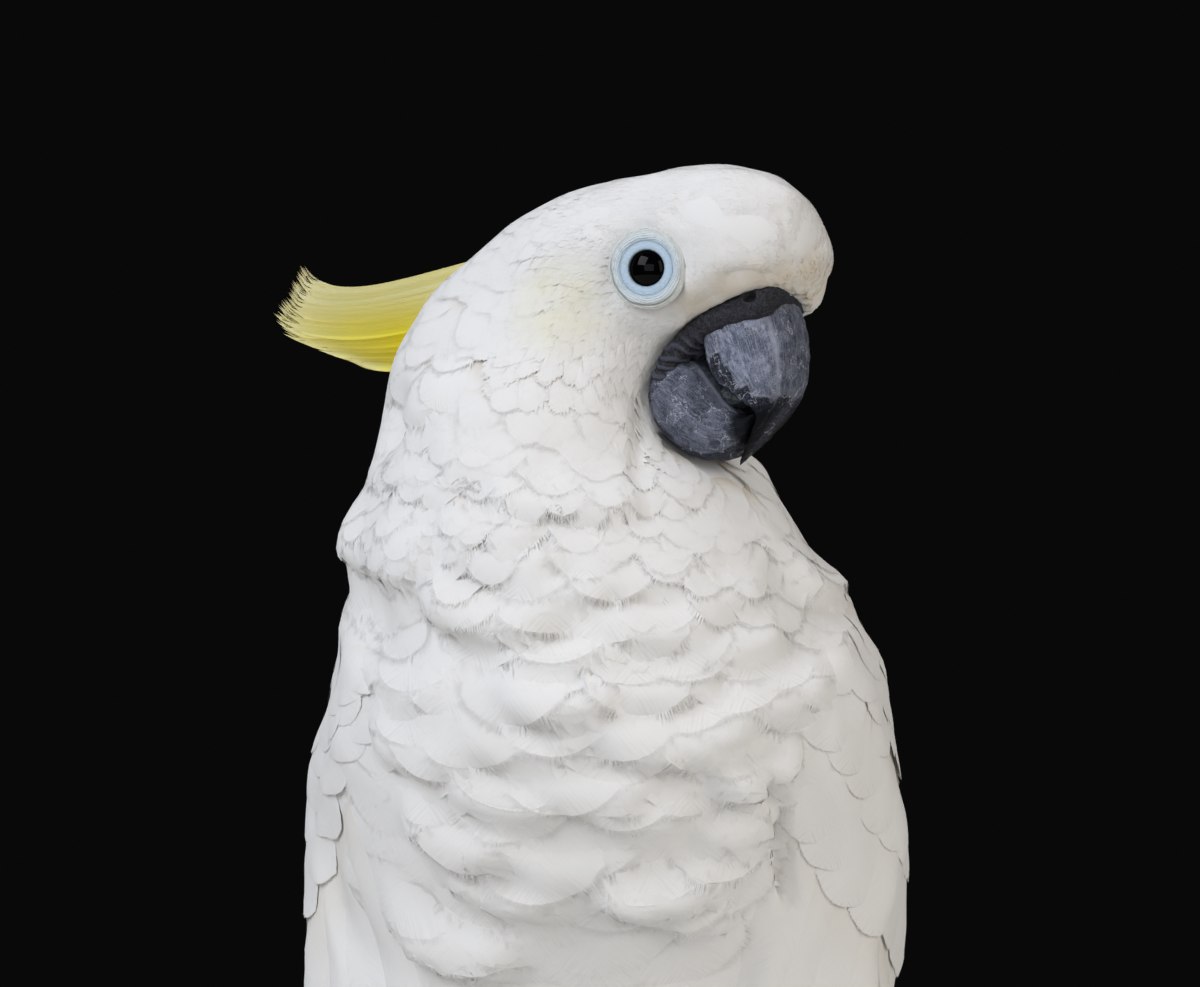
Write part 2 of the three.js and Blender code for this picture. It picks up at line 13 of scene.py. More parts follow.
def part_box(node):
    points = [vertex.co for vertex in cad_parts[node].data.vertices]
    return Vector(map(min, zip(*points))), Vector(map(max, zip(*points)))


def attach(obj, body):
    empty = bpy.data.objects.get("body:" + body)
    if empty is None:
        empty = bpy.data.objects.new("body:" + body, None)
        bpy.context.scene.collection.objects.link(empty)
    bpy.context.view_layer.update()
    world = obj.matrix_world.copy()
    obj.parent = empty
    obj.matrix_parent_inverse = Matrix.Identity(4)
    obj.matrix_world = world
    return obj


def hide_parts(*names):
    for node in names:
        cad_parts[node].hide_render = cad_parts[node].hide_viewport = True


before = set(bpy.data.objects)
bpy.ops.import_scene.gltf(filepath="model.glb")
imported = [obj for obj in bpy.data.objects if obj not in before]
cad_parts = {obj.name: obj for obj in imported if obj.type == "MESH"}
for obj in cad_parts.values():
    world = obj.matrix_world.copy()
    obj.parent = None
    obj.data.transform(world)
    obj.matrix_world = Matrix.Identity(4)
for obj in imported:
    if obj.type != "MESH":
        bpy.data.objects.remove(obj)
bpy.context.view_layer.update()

# ---- Driving values. Shapes are worked out in millimetres and handed to Blender in metres. ----
MM = 0.001
SEED = 11
CUT_CLOSER = 0.5  # how far each solid grows, so that the cuts between the solids close in the skin
SKIN_VOXEL = 2.0
GRID_CELL = 2.5  # of the distance field round the bird
GRID_REACH = 15.0
STEP = 4.0  # the furthest that a point settles towards the outline in one go
THIGH_BACK = 37.4  # from the body frame's origin back to the middle of the thighs
BODY_YAW = math.radians(-5)
PATCH = 0.003  # width of one feather's patch in the bake map

random = np.random.default_rng(SEED)

FLESH = ["head", "neck", "trunk", "left_thigh", "right_thigh", "left_wing", "right_wing"]
SIDES = {"left": 1, "right": -1}


# ---- Frames ----
def middle(node):
    """The middle of a CAD node's box, in millimetres."""
    low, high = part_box(node)
    return (np.array(low) + np.array(high)) / 2 / MM


class Axes:
    """A frame that is turned about the vertical: X forward on the head, Y backward on the body."""

    def __init__(self, origin, yaw):
        self.origin = np.array(origin, float)
        c, s = math.cos(yaw), math.sin(yaw)
        self.turn = np.array([[c, s, 0], [-s, c, 0], [0, 0, 1]])

    def place(self, points):
        return np.asarray(points, float) @ self.turn + self.origin

    def way(self, directions):
        return np.asarray(directions, float) @ self.turn

    def own(self, points):
        return (np.asarray(points, float) - self.origin) @ self.turn.T


eye_line = middle("left_eye") - middle("right_eye")
HEAD = Axes((middle("left_eye") + middle("right_eye")) / 2, math.atan2(-eye_line[0], eye_line[1]))
thighs = (middle("left_thigh") + middle("right_thigh")) / 2
BODY = Axes([thighs[0], thighs[1], 0], BODY_YAW)
BODY.origin = BODY.place([0, -THIGH_BACK, 0])


def unit(v):
    return v / np.maximum(np.linalg.norm(v, axis=-1, keepdims=True), 1e-9)


def smooth(low, high, x):
    t = np.clip((x - low) / (high - low), 0, 1)
    return t * t * (3 - 2 * t)


# ---- Meshes ----
def new_object(name, data):
    obj = bpy.data.objects.new(name, data)
    bpy.context.scene.collection.objects.link(obj)
    return obj


def mesh_from(name, points, faces, uvs=None, values=None):
    """A smooth-shaded mesh of equal-sided faces. points are in millimetres, uvs are per point."""
    mesh = bpy.data.meshes.new(name)
    faces = np.asarray(faces, np.int32)
    count, sides = faces.shape
    mesh.vertices.add(len(points))
    mesh.vertices.foreach_set("co", (np.asarray(points) * MM).astype(np.float32).ravel())
    mesh.loops.add(count * sides)
    mesh.loops.foreach_set("vertex_index", faces.ravel())
    mesh.polygons.add(count)
    mesh.polygons.foreach_set("loop_start", np.arange(0, count * sides, sides, dtype=np.int32))
    mesh.update(calc_edges=True)
    mesh.polygons.foreach_set("use_smooth", np.ones(count, bool))
    for layer, uv in (uvs or {}).items():
        mesh.uv_layers.new(name=layer)
        mesh.uv_layers[layer].data.foreach_set("uv", uv[faces.ravel()].astype(np.float32).ravel())
    for layer, value in (values or {}).items():
        attribute = mesh.attributes.new(layer, "FLOAT", "POINT")
        attribute.data.foreach_set("value", value.astype(np.float32))
    return mesh


def coordinates(mesh):
    points = np.empty(len(mesh.vertices) * 3, np.float32)
    mesh.vertices.foreach_get("co", points)
    return points.reshape(-1, 3).astype(float) / MM


def set_coordinates(mesh, points):
    mesh.vertices.foreach_set("co", (points * MM).astype(np.float32).ravel())
    mesh.update()


def normals(mesh):
    vectors = np.empty(len(mesh.vertices) * 3, np.float32)
    mesh.vertices.foreach_get("normal", vectors)
    return vectors.reshape(-1, 3).astype(float)


def modified(obj, *modifiers):
    """Applies modifiers, given as (type, settings), to an object's mesh."""
    for kind, settings in modifiers:
        modifier = obj.modifiers.new(kind.title(), kind)
        for name, value in settings.items():
            setattr(modifier, name, value)
    graph = bpy.context.evaluated_depsgraph_get()
    mesh = bpy.data.meshes.new_from_object(obj.evaluated_get(graph))
    obj.modifiers.clear()
    obj.data = mesh
    return mesh


def merged_copy(name, nodes, grow=0.0):
    """One object made of copies of CAD nodes, each grown along its normals."""
    merged = bmesh.new()
    for node in nodes:
        part = bmesh.new()
        part.from_mesh(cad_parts[node].data)
        bmesh.ops.remove_doubles(part, verts=part.verts, dist=0.01 * MM)
        part.normal_update()
        for vertex in part.verts:
            vertex.co += vertex.normal * grow * MM
        mesh = bpy.data.meshes.new(node)
        part.to_mesh(mesh)
        part.free()
        merged.from_mesh(mesh)
    mesh = bpy.data.meshes.new(name)
    merged.to_mesh(mesh)
    merged.free()
    return new_object(name, mesh)


def tree_of(mesh):
    """A search tree over a mesh, in millimetres."""
    points = [Vector(p) for p in coordinates(mesh)]
    return BVHTree.FromPolygons(points, [list(p.vertices) for p in mesh.polygons])


# ---- The bird's outline, as a distance field that feathers are laid on ----
class Outline:
    """Distance to the outline in millimetres, positive outside, with its slope, on a grid."""

    def __init__(self, mesh):
        tree = tree_of(mesh)
        points = coordinates(mesh)
        self.low = points.min(0) - GRID_REACH - GRID_CELL
        shape = np.ceil((points.max(0) + GRID_REACH - self.low) / GRID_CELL).astype(int) + 2
        near = np.zeros(shape, bool)
        near[tuple(np.round((points - self.low) / GRID_CELL).astype(int).T)] = True
        for axis in range(3):
            grown = near.copy()
            for step in range(1, int(GRID_REACH / GRID_CELL)):
                grown |= np.roll(near, step, axis) | np.roll(near, -step, axis)
            near = grown
        distance = np.full(shape, GRID_REACH, float)
        for index in np.argwhere(near):
            place = Vector(index * GRID_CELL + self.low)
            spot, normal, _, away = tree.find_nearest(place)
            distance[tuple(index)] = away if (place - spot).dot(normal) > 0 else -away
        slope = np.gradient(distance, GRID_CELL)
        self.grid = np.stack([distance, *slope], -1)

    def at(self, points):
        """Distance and outward direction at each point."""
        cell = (points - self.low) / GRID_CELL
        cell = np.clip(cell, 0, np.array(self.grid.shape[:3]) - 1.001)
        base = cell.astype(int)
        part = (cell - base)[..., None]
        total = 0
        for corner in np.ndindex(2, 2, 2):
            share = np.prod([part[..., a, :] if corner[a] else 1 - part[..., a, :] for a in range(3)], 0)
            total = total + share * self.grid[tuple((base + corner)[..., a] for a in range(3))]
        return total[..., 0], unit(total[..., 1:])

    def settle(self, points, rounds=3):
        """Moves points onto the outline. Also gives the outward direction there."""
        for _ in range(rounds):
            distance, out = self.at(points)
            step = np.clip(distance, -STEP, STEP)
            points = points - out * step[..., None]
        return points, out


def make_outline():
    hull = merged_copy("outline_hull", FLESH, CUT_CLOSER)
    remesh = ("REMESH", {"mode": "VOXEL", "voxel_size": SKIN_VOXEL * MM})
    mesh = modified(hull, remesh, ("SMOOTH", {"factor": 0.5, "iterations": 14}))
    bpy.data.objects.remove(hull)
    return mesh


outline_mesh = make_outline()
OUTLINE = Outline(outline_mesh)


# ---- The lie of the plumage ----
# Each guide: place, direction, feather length, feather width, depth of coat. All but the middle ones are
# mirrored. The head's are in the head's frame, the others in the body's.
HEAD_GUIDES = [
    ((35, 0, 3), (-0.2, 0, 1), 4.5, 2.4, 0.3),
    ((29, 0, 20), (-0.7, 0, 0.7), 5, 2.8, 0.3),
    ((12, 0, 24), (-1, 0, 0.1), 6, 3.2, 0.35),
    ((-12, 0, 24), (-1, 0, -0.1), 8, 4.4, 0.5),
    ((-34, 0, 17), (-1, 0, -0.5), 17, 12, 0.8),
    ((-48, 0, 4), (-0.7, 0, -0.8), 22, 18, 1.3),
    ((-52, 0, -14), (-0.25, 0, -1), 25, 21, 1.8),
    ((31, 10, 8), (-0.5, 0.5, 0.9), 4.5, 2.4, 0.3),
    ((22, 15, 2), (-1, 0.2, 0.5), 4.0, 1.9, 0.3),
    ((14, 15, -5), (-1, 0.1, 0.1), 4.0, 1.8, 0.3),
    ((10, 15, 16), (-1, 0, 0.25), 5, 2.6, 0.3),
    ((-8, 18, 13), (-1, 0, -0.05), 6, 3.0, 0.4),
    ((4, 18, -12), (-1, 0.1, -0.45), 4.5, 1.9, 0.35),
    ((-16, 21, 0), (-1, 0, -0.3), 6.5, 2.6, 0.6),
    ((-8, 20, -20), (-0.7, 0, -0.8), 7.5, 3.2, 0.5),
    ((-24, 22, -14), (-0.8, 0, -0.7), 11, 4.4, 0.7),
    ((-36, 18, -4), (-0.8, 0, -0.7), 18, 13, 1.0),
    ((-5, 16, -30), (-0.35, 0, -1), 11, 5, 0.7),
    ((-22, 20, -34), (-0.3, 0, -1), 21, 15, 1.3),
    ((-42, 16, -26), (-0.4, 0, -1), 24, 20, 1.7),
]
BODY_GUIDES = [
    ((0, -34, 222), (0, -0.2, -1), 19, 14, 2.2),
    ((24, -20, 216), (0.25, -0.2, -1), 16, 11, 1.6),
    ((38, -4, 215), (0.4, 0.1, -1), 15, 10, 1.4),
    ((-45, 2, 224), (-0.3, 0, -1), 27, 24, 2.6),
    ((0, 40, 226), (0, 0.35, -1), 27, 23, 2.6),
    ((0, -40, 198), (0, -0.2, -1), 28, 26, 4.0),
    ((58, 0, 200), (0.05, 0, -1), 28, 25, 3.5),
    ((0, 42, 198), (0, 0.3, -1), 28, 25, 4.0),
    ((0, -46, 165), (0, 0, -1), 31, 31, 5.0),
    ((40, -34, 165), (0.3, 0, -1), 31, 31, 5.0),
    ((0, -44, 125), (0, 0.2, -1), 33, 33, 5.5),
    ((40, -28, 120), (0.3, 0.2, -1), 33, 31, 5.0),
    ((0, -28, 90), (0, 0.45, -0.9), 34, 32, 5.5),
    ((34, -14, 88), (0.1, 0.45, -0.9), 33, 30, 5.0),
    ((0, 20, 52), (0, 0.95, -0.35), 31, 23, 4.5),
    ((20, 90, 50), (0, 1, -0.25), 34, 20, 4.0),
    ((0, 100, 40), (0, 1, -0.3), 36, 22, 4.0),
    ((25, 14, 50), (0, 0.2, -1), 15, 9, 2.5),
    ((23, 25, 32), (0, 0.25, -1), 9, 5, 1.8),
    ((23, 50, 34), (0, -0.1, -1), 9, 5, 1.8),
    ((0, 55, 160), (0, 0.45, -0.9), 29, 24, 4.0),
    ((0, 85, 112), (0, 0.6, -0.8), 33, 24, 4.0),
    ((0, 120, 72), (0, 0.9, -0.5), 34, 22, 3.0),
]
WING_GUIDES = [
    ((61, -8, 182), (0.1, 0.05, -1), 19, 14, 1.2),
    ((72, 8, 155), (0.0, 0.2, -1), 23, 17, 1.4),
    ((62, -15, 150), (-0.2, 0.1, -1), 24, 17, 1.4),
    ((55, -12, 126), (-0.38, 0.2, -0.92), 30, 17, 1.4),
    ((45, -8, 96), (-0.35, 0.3, -0.93), 34, 16, 1.4),
    ((67, 5, 108), (-0.32, 0.15, -0.92), 30, 17, 1.4),
    ((74, 26, 122), (-0.1, 0.45, -0.88), 30, 18, 1.4),
    ((66, 52, 96), (-0.1, 0.7, -0.7), 34, 18, 1.4),
    ((46, 34, 66), (-0.15, 0.9, -0.4), 34, 16, 1.2),
    ((32, 62, 160), (0.2, 0.45, -0.9), 25, 17, 2.0),
    ((36, 100, 110), (-0.1, 0.75, -0.65), 32, 18, 1.4),
    ((30, 140, 50), (-0.1, 0.95, -0.3), 38, 16, 1.0),
    ((16, 168, 30), (-0.08, 0.95, -0.3), 38, 14, 0.8),
]
# Where the plumage stands up in lobes, in the body's frame: the middle of the lower edge, half the width, how
# long the rise to the edge is, and the height there. Lower ones are scattered over the rest.
LOBES = [
    ((-47, -13, 231), 15, 16, 1.8),
    ((-53, -9, 215), 16, 14, 1.6),
    ((-56, -17, 194), 18, 18, 3.2),
    ((-48, -25, 192), 14, 14, 3.4),
    ((-40, -26, 210), 14, 12, 2.0),
    ((-26, -32, 214), 14, 12, 2.3),
    ((-12, -34, 205), 13, 12, 3.2),
    ((3, -37, 206), 11, 14, 3.0),
    ((21, -29, 209), 11, 12, 0.8),
    ((-24, -36, 199), 14, 10, 2.3),
    ((-20, -39, 191), 15, 10, 2.9),
    ((-24, -38, 178), 18, 15, 6.1),
    ((-5, -43, 186), 16, 9, 2.9),
    ((14, -42, 188), 16, 10, 2.0),
    ((-6, -44, 169), 15, 9, 3.2),
    ((-5, -45, 158), 15, 12, 5.3),
    ((19, -41, 176), 15, 10, 2.8),
    ((36, -36, 186), 14, 10, 1.8),
    ((20, -43, 162), 15, 9, 2.5),
    ((38, -33, 172), 15, 10, 2.0),
    ((26, -41, 148), 22, 14, 4.8),
    ((48, -30, 159), 13, 14, 3.7),
    ((42, -31, 141), 12, 10, 4.7),
    ((38, -26, 129), 12, 9, 2.9),
    ((3, -40, 136), 14, 12, 2.9),
    ((14, -38, 130), 13, 10, 2.5),
    ((-41, -30, 146), 16, 12, 2.9),
    ((-14, -41, 147), 16, 9, 2.3),
    ((-19, -38, 134), 16, 10, 2.9),
    ((-44, -26, 162), 15, 10, 2.3),
    ((-33, -28, 124), 15, 12, 4.7),
    ((-22, -26, 112), 18, 9, 3.4),
    ((-4, -32, 118), 16, 10, 2.3),
    ((17, -25, 113), 16, 12, 5.8),
    ((30, -24, 117), 12, 10, 3.4),
    ((-34, -11, 99), 18, 16, 5.4),
    ((28, -20, 106), 10, 12, 2.9),
    ((61, -6, 191), 13, 15, 5.3),
]
MORE_LOBES = (0.46, 1.25)  # how far apart lower ones lie, as shares of feather length and width

# Creases of the plumage: the frame, places along each, how far its sides reach and how deep it is. Ridges are
# creases of less than no depth.
CREASES = [
    (HEAD, [(4, -17, 14), (7, -18, 12.6), (9.8, -18.5, 10.2)], 1.3, 0.55),
    (HEAD, [(4, 17, 14), (7, 18, 12.6), (9.8, 18.5, 10.2)], 1.3, 0.55),
    (HEAD, [(-15, -20, 9.4), (-7.7, -20, 7.5)], 1.2, 0.5),
    (HEAD, [(-15, 20, 9.4), (-7.7, 20, 7.5)], 1.2, 0.5),
    (HEAD, [(20, -16.4, 0), (24.7, -14.5, 0.8), (28, -11.8, -0.2)], 2.0, -0.25),
    (HEAD, [(22, -16, -2.6), (26, -13.5, -1.8), (29.5, -9.9, -1.8), (32, -7.7, -0.4)], 2.0, 0.5),
    (HEAD, [(22.5, -16, 5.6), (26.5, -13.6, 4.4), (29, -11, 2.4)], 2.2, 0.22),
    (HEAD, [(29, -11, 5.4), (32, -8, 3.4), (33, -6, 1)], 1.2, 0.35),
    (HEAD, [(8.4, -15.2, 17.4), (10.5, -17.5, 11.5), (12.2, -18.9, 6)], 1.7, 0.35),
    (HEAD, [(17, -16, 13.5), (19.4, -17.2, 9), (20.1, -17.4, 5)], 1.6, 0.3),
    (HEAD, [(24.4, -14.6, 12), (26.4, -14.8, 7), (26.7, -13.8, 2.4)], 1.6, 0.4),
    (HEAD, [(31.2, -8.7, 13.4), (32.9, -8.9, 9), (33.4, -8.2, 5)], 1.6, 0.4),
    (HEAD, [(22, 16, -2.6), (26, 13.5, -1.8), (29.5, 9.9, -1.8), (32, 7.7, -0.4)], 1.6, 0.7),
    (HEAD, [(36.2, 3.6, 5.4), (35.9, -0.9, 3.1), (34.6, -3, 0.5)], 1.0, 0.9),
    (BODY, [(12.1, -15.3, 234), (12.1, -21.1, 224), (11.9, -29.4, 214.4)], 2.2, 1.5),
    (BODY, [(44, -30, 142), (46.5, -21.2, 128.7), (47.1, -13.7, 115)], 1.8, 7.0),
    (HEAD, [(-10, 0, 25), (-18, 0, 23)], 8, 1.3),
    (BODY, [(-48, -8, 232), (-50, -8, 226)], 7.5, 5.0),
    (BODY, [(-55, -14, 200), (-56, -16, 192), (-56, -18, 184)], 9, 2.8),
    (BODY, [(-66, 0, 160), (-71, 10, 140), (-70, 14, 118), (-60, 8, 96)], 14, 2.8),
]


def mirrored(guides, axes, across):
    """Guides in the bird's own frame, doubled to the other side, as arrays in the row frame."""
    rows = []
    for place, way, *sizes in guides:
        rows.append((place, way, sizes))
        if place[across] != 0:
            flip = [-1 if axis == across else 1 for axis in range(3)]
            rows.append((np.multiply(place, flip), np.multiply(way, flip), sizes))
    places, ways, sizes = (np.array(column, float) for column in zip(*rows))
    return axes.place(places), unit(axes.way(ways)), sizes


EYES = np.array([middle(f"{side}_eye") for side in SIDES])


class Lie:
    """Which way the feathers lie, how large they are and how deep the coat is, blended from guides."""

    def __init__(self, *groups):
        halves = [mirrored(*group) for group in groups]
        places, self.ways, self.guide_sizes = (np.concatenate(columns) for columns in zip(*halves))
        self.places, _ = OUTLINE.settle(places, rounds=6)

    def shares(self, points):
        """How much each guide counts at each point."""
        away = ((points[:, None, :] - self.places) ** 2).sum(-1)
        share = 1 / (away + 30) ** 2
        return share / share.sum(1, keepdims=True)

    def way(self, points, out):
        """Along the guides, and round the eyes."""
        way = unit(self.shares(points) @ self.ways)
        for eye in EYES:
            away = points - eye
            near = smooth(17, 10, np.linalg.norm(away, axis=-1))[:, None]
            radial = unit(away)
            inward = np.minimum((way * radial).sum(-1, keepdims=True), 0)
            way = way - radial * inward * near * 0.95
        return unit(way - out * (way * out).sum(-1, keepdims=True))

    def sizes(self, points):
        """Feather length, feather width and depth of coat."""
        return (self.shares(points) @ self.guide_sizes).T


BODY_LIE = Lie((HEAD_GUIDES, HEAD, 1), (BODY_GUIDES, BODY, 0))
WING_LIE = Lie((WING_GUIDES, BODY, 0))


def distance_to(nodes, points):
    """How far each point is from the nearest of some CAD nodes."""
    copy = merged_copy("copy", nodes)
    tree = tree_of(copy.data)
    bpy.data.objects.remove(copy)
    return np.array([tree.find_nearest(Vector(p))[3] for p in points])


def on_wing(points):
    """Whether each point lies on a wing."""
    return distance_to(["left_wing", "right_wing"], points) < distance_to(["head", "neck", "trunk"], points)


BARE_PARTS = ["upper_bill", "lower_bill", "bill_skin", "left_eye_ring", "right_eye_ring"]


TRIES = 7  # places that are tried for each root that fits


def scatter(lie, spacing):
    """Roots over the outline, evenly spread: spacing is a share of feather length and width."""
    mesh = outline_mesh
    mesh.calc_loop_triangles()
    corners = np.array([t.vertices for t in mesh.loop_triangles])
    points = coordinates(mesh)[corners]
    area = np.linalg.norm(np.cross(points[:, 1] - points[:, 0], points[:, 2] - points[:, 0]), axis=1) / 2
    length, width, _ = lie.sizes(points.mean(1))
    want = area / (length * spacing[0] * width * spacing[1])
    picks = random.choice(len(area), size=int(want.sum() * TRIES), p=want / want.sum())
    share = random.dirichlet([1, 1, 1], len(picks))[..., None]
    roots = (points[picks] * share).sum(1)
    roots, out = OUTLINE.settle(roots)
    length, width, _ = lie.sizes(roots)
    way = lie.way(roots, out)
    side = np.cross(out, way)
    steps = np.stack([length * spacing[0], width * spacing[1]], -1)
    search = KDTree(len(roots))
    for i, root in enumerate(roots):
        search.insert(Vector(root), i)
    search.balance()
    taken = np.ones(len(roots), bool)
    kept = []
    for i, root in enumerate(roots):
        if not taken[i]:
            continue
        kept.append(i)
        near = [found[1] for found in search.find_range(Vector(root), steps[i].max())]
        away = roots[near] - root
        apart = (away @ way[i] / steps[i, 0]) ** 2 + (away @ side[i] / steps[i, 1]) ** 2
        taken[np.array(near)[apart < 1]] = False
    roots = roots[kept]
    return roots[distance_to(BARE_PARTS, roots) > 1.0]


def make_lobes():
    """All the lobes: the placed ones, and lower ones between them, as arrays in the row frame."""
    places, reaches, runs, heights = (np.array(column, float) for column in zip(*LOBES))
    edges, _ = OUTLINE.settle(BODY.place(places), rounds=6)
    more = scatter(BODY_LIE, MORE_LOBES)
    length, width, depth = BODY_LIE.sizes(more)
    clear = np.linalg.norm(more[:, None] - edges, axis=-1).min(1) > 0.5 * width
    more, length, width, depth = more[clear], length[clear], width[clear], depth[clear]
    low = depth * 0.17 * random.uniform(0.2, 1, len(more)) * smooth(16, 26, width)
    edges = np.concatenate([edges, more])
    _, out = OUTLINE.at(edges)
    ways = BODY_LIE.way(edges, out)
    reaches = np.concatenate([reaches, 0.7 * width])
    runs = np.concatenate([runs, 0.45 * length])
    return edges, out, ways, reaches, runs, np.concatenate([heights, low])


def lobe_height(points, middles, overhang=0.0):
    """How high the plumage stands in lobes at each point of each feather, and over their lower edges."""
    total = np.zeros(points.shape[:-1])
    for edge, out, way, reach, run, height in zip(*ALL_LOBES):
        near = np.linalg.norm(middles - edge, axis=-1) < reach + run + 24
        away = points[near] - edge
        across = np.abs(away @ np.cross(out, way))
        # The lower edge is an arc, so the rise ends sooner away from its middle.
        along = away @ way + across**2 / (3.2 * reach)
        climb = smooth(-run, -2, along) * smooth(2.6, -0.6, along - overhang)
        rise = height * climb * smooth(reach * 1.3, reach * 0.5, across)
        rise = np.where(np.abs(away @ out) < reach, rise, 0)
        total[near] = np.maximum(total[near], rise)
    return total


ALL_LOBES = make_lobes()


def crease_depth(points):
    """How far the plumage sinks at each point, in its creases."""
    total = np.zeros(points.shape[:-1])
    for axes, places, reach, deep in CREASES:
        path, _ = OUTLINE.settle(axes.place(places), rounds=6)
        away = np.full(points.shape[:-1], np.inf)
        for start, end in zip(path[:-1], path[1:]):
            ahead = end - start
            share = np.clip((points - start) @ ahead / (ahead @ ahead), 0, 1)
            away = np.minimum(away, np.linalg.norm(points - start - share[..., None] * ahead, axis=-1))
        total += deep * np.exp(-((away / reach) ** 2))
    return total


# ---- Skin ----
SKIN_TONE = 0.55  # as white as a feather is this far along it
THICK = 60.0  # a form this thick takes the whole depth of the coat
THIN_SHARE = 0.35  # of a thin form's thickness, that the coat takes at most


def thickness(mesh, points, out):
    """How thick the form is under each point, as far as it matters to the skin."""
    tree = tree_of(mesh)
    deep = np.full(len(points), THICK)
    for i, (point, way) in enumerate(zip(points, out)):
        away = tree.ray_cast(Vector(point - way * 0.2), Vector(-way), THICK)[3]
        if away is not None:
            deep[i] = away
    return deep


def make_skin():
    """One skin for the whole body, under the outline by the depth of the coat."""
    mesh = outline_mesh.copy()
    mesh.name = "skin"
    skin = new_object("skin", mesh)
    points, out = coordinates(mesh), normals(mesh)
    depth = np.where(on_wing(points), WING_LIE.sizes(points)[2], BODY_LIE.sizes(points)[2])
    depth = np.minimum(depth, thickness(mesh, points, out) * THIN_SHARE)
    set_coordinates(mesh, points - out * (depth + crease_depth(points))[:, None])
    modified(skin, ("SMOOTH", {"factor": 0.5, "iterations": 4}))
    bpy.ops.object.select_all(action="DESELECT")
    skin.select_set(True)
    bpy.context.view_layer.objects.active = skin
    bpy.ops.object.mode_set(mode="EDIT")
    bpy.ops.mesh.select_all(action="SELECT")
    bpy.ops.uv.smart_project(angle_limit=math.radians(66), island_margin=0.002)
    bpy.ops.object.mode_set(mode="OBJECT")
    skin.data.uv_layers[0].name = "OFBake"
    skin.data.polygons.foreach_set("use_smooth", np.ones(len(skin.data.polygons), bool))
    along = skin.data.attributes.new("along", "FLOAT", "POINT")
    along.data.foreach_set("value", np.full(len(skin.data.vertices), SKIN_TONE, np.float32))
    return skin


skin = make_skin()


class SkinMap:
    """Finds where on the skin's unwrap a point of the body lies."""

    def __init__(self, obj):
        self.tree = tree_of(obj.data)
        layer = obj.data.uv_layers["OFBake"].data
        uv = np.empty(len(layer) * 2, np.float32)
        layer.foreach_get("uv", uv)
        uv = uv.reshape(-1, 2)
        self.middles = np.array([uv[list(p.loop_indices)].mean(0) for p in obj.data.polygons])

    def at(self, points):
        found = [self.tree.find_nearest(Vector(p))[2] for p in points]
        return self.middles[found]


SKIN_MAP = SkinMap(skin)


# ---- One feather, as shares of its length and half width, with a fringe of barbs round its tip ----
class Vane:
    """Points and triangles of a feather that every feather of one kind shares.

    waist is how wide it starts, roundness how much shorter its edges are than its middle, and bare the share
    of its length whose edges have no loose barbs. The lower the taper, the longer its point.
    """

    def __init__(self, rows, columns, barbs, barb=1.5, roundness=0.3, waist=0.5, bare=0.55, taper=None):
        s = np.linspace(0, 1, rows + 1)[:, None]
        w = np.linspace(-1, 1, columns + 1)[None, :]
        along = s * (1 - roundness * np.abs(w) ** 2.4)
        wide = w * (waist + (1 - waist) * np.sqrt(np.minimum(s / 0.5, 1)))
        if taper:
            wide = wide * (1 - 0.96 * s**taper)
        stride = columns + 1
        corner = (np.arange(rows)[:, None] * stride + np.arange(columns)).ravel()
        cells = [
            np.stack([corner, corner + 1, corner + stride + 1], -1),
            np.stack([corner, corner + stride + 1, corner + stride], -1),
        ]
        left = np.arange(round(rows * bare), rows) * stride
        tip = rows * stride + np.arange(stride)
        rim = np.concatenate([left, tip, left[::-1] + columns])
        base = np.stack([along.ravel(), wide.ravel()], -1)
        place = np.linspace(0.02, len(rim) - 1.02, barbs)
        gap = (len(rim) - 1) / max(barbs, 1) * 0.52
        roots = [self.between(base[rim], place + side * gap) for side in (-1, 1)]
        middles = self.between(base[rim], place)
        lean = middles[:, 1] * math.radians(48)
        reach = np.stack([np.cos(lean), np.sin(lean)], -1) * barb
        first = len(base)
        numbers = first + np.arange(barbs)
        fringe = np.stack([numbers, numbers + barbs, numbers + 2 * barbs], -1)
        self.shape = np.concatenate([base, *roots, middles])
        self.reach = np.concatenate([np.zeros((first + 2 * barbs, 2)), reach])
        self.free = np.arange(len(self.shape)) >= first + 2 * barbs
        self.faces = np.concatenate([*cells, fringe])[:, ::-1]

    @staticmethod
    def between(line, place):
        place = np.clip(place, 0, len(line) - 1.001)
        low = place.astype(int)
        part = (place - low)[:, None]
        return line[low] * (1 - part) + line[low + 1] * part


STATIONS = 10  # steps that a feather's shaft takes over the body
OVERRUN = 1.12  # how far they go past its length, to carry the barbs at its tip
STRAIGHT_ENOUGH = 0.75  # a feather that a crease folds up shorter than this share of its length is left out


def shafts(roots, length, sway, lie):
    """Walks each shaft over the outline from its root, along the lie of the plumage."""
    points, out = OUTLINE.settle(roots)
    line, side = [], []
    for _ in range(STATIONS + 1):
        way = lie.way(points, out)
        across = np.cross(out, way)
        way = unit(way + across * sway[:, None])
        line.append(points)
        side.append(np.cross(out, way))
        points, out = OUTLINE.settle(points + way * (length * OVERRUN / STATIONS)[:, None], rounds=2)
    return np.stack(line, 1), np.stack(side, 1)


def feather_piece(name, vane, points, a, b, length, roots):
    """One mesh of many feathers. a and b are each point's place along and across its own feather."""
    count, size = a.shape
    own = np.stack([vane.shape[:, 1] / 2, vane.shape[:, 0] - 0.5], -1)
    patch = SKIN_MAP.at(roots)[:, None, :] + own * PATCH
    uvs = {
        "OFBake": np.clip(patch, 0, 1).reshape(-1, 2),
        "Vane": np.stack([b, a], -1).reshape(-1, 2) / 100,
    }
    values = {
        "shade": np.repeat(random.uniform(0, 1, count), size),
        "along": np.clip(a / length[:, None], 0, 1).ravel(),
    }
    faces = (vane.faces + (np.arange(count) * size)[:, None, None]).reshape(-1, 3)
    return new_object(name, mesh_from(name, points.reshape(-1, 3), faces, uvs, values))


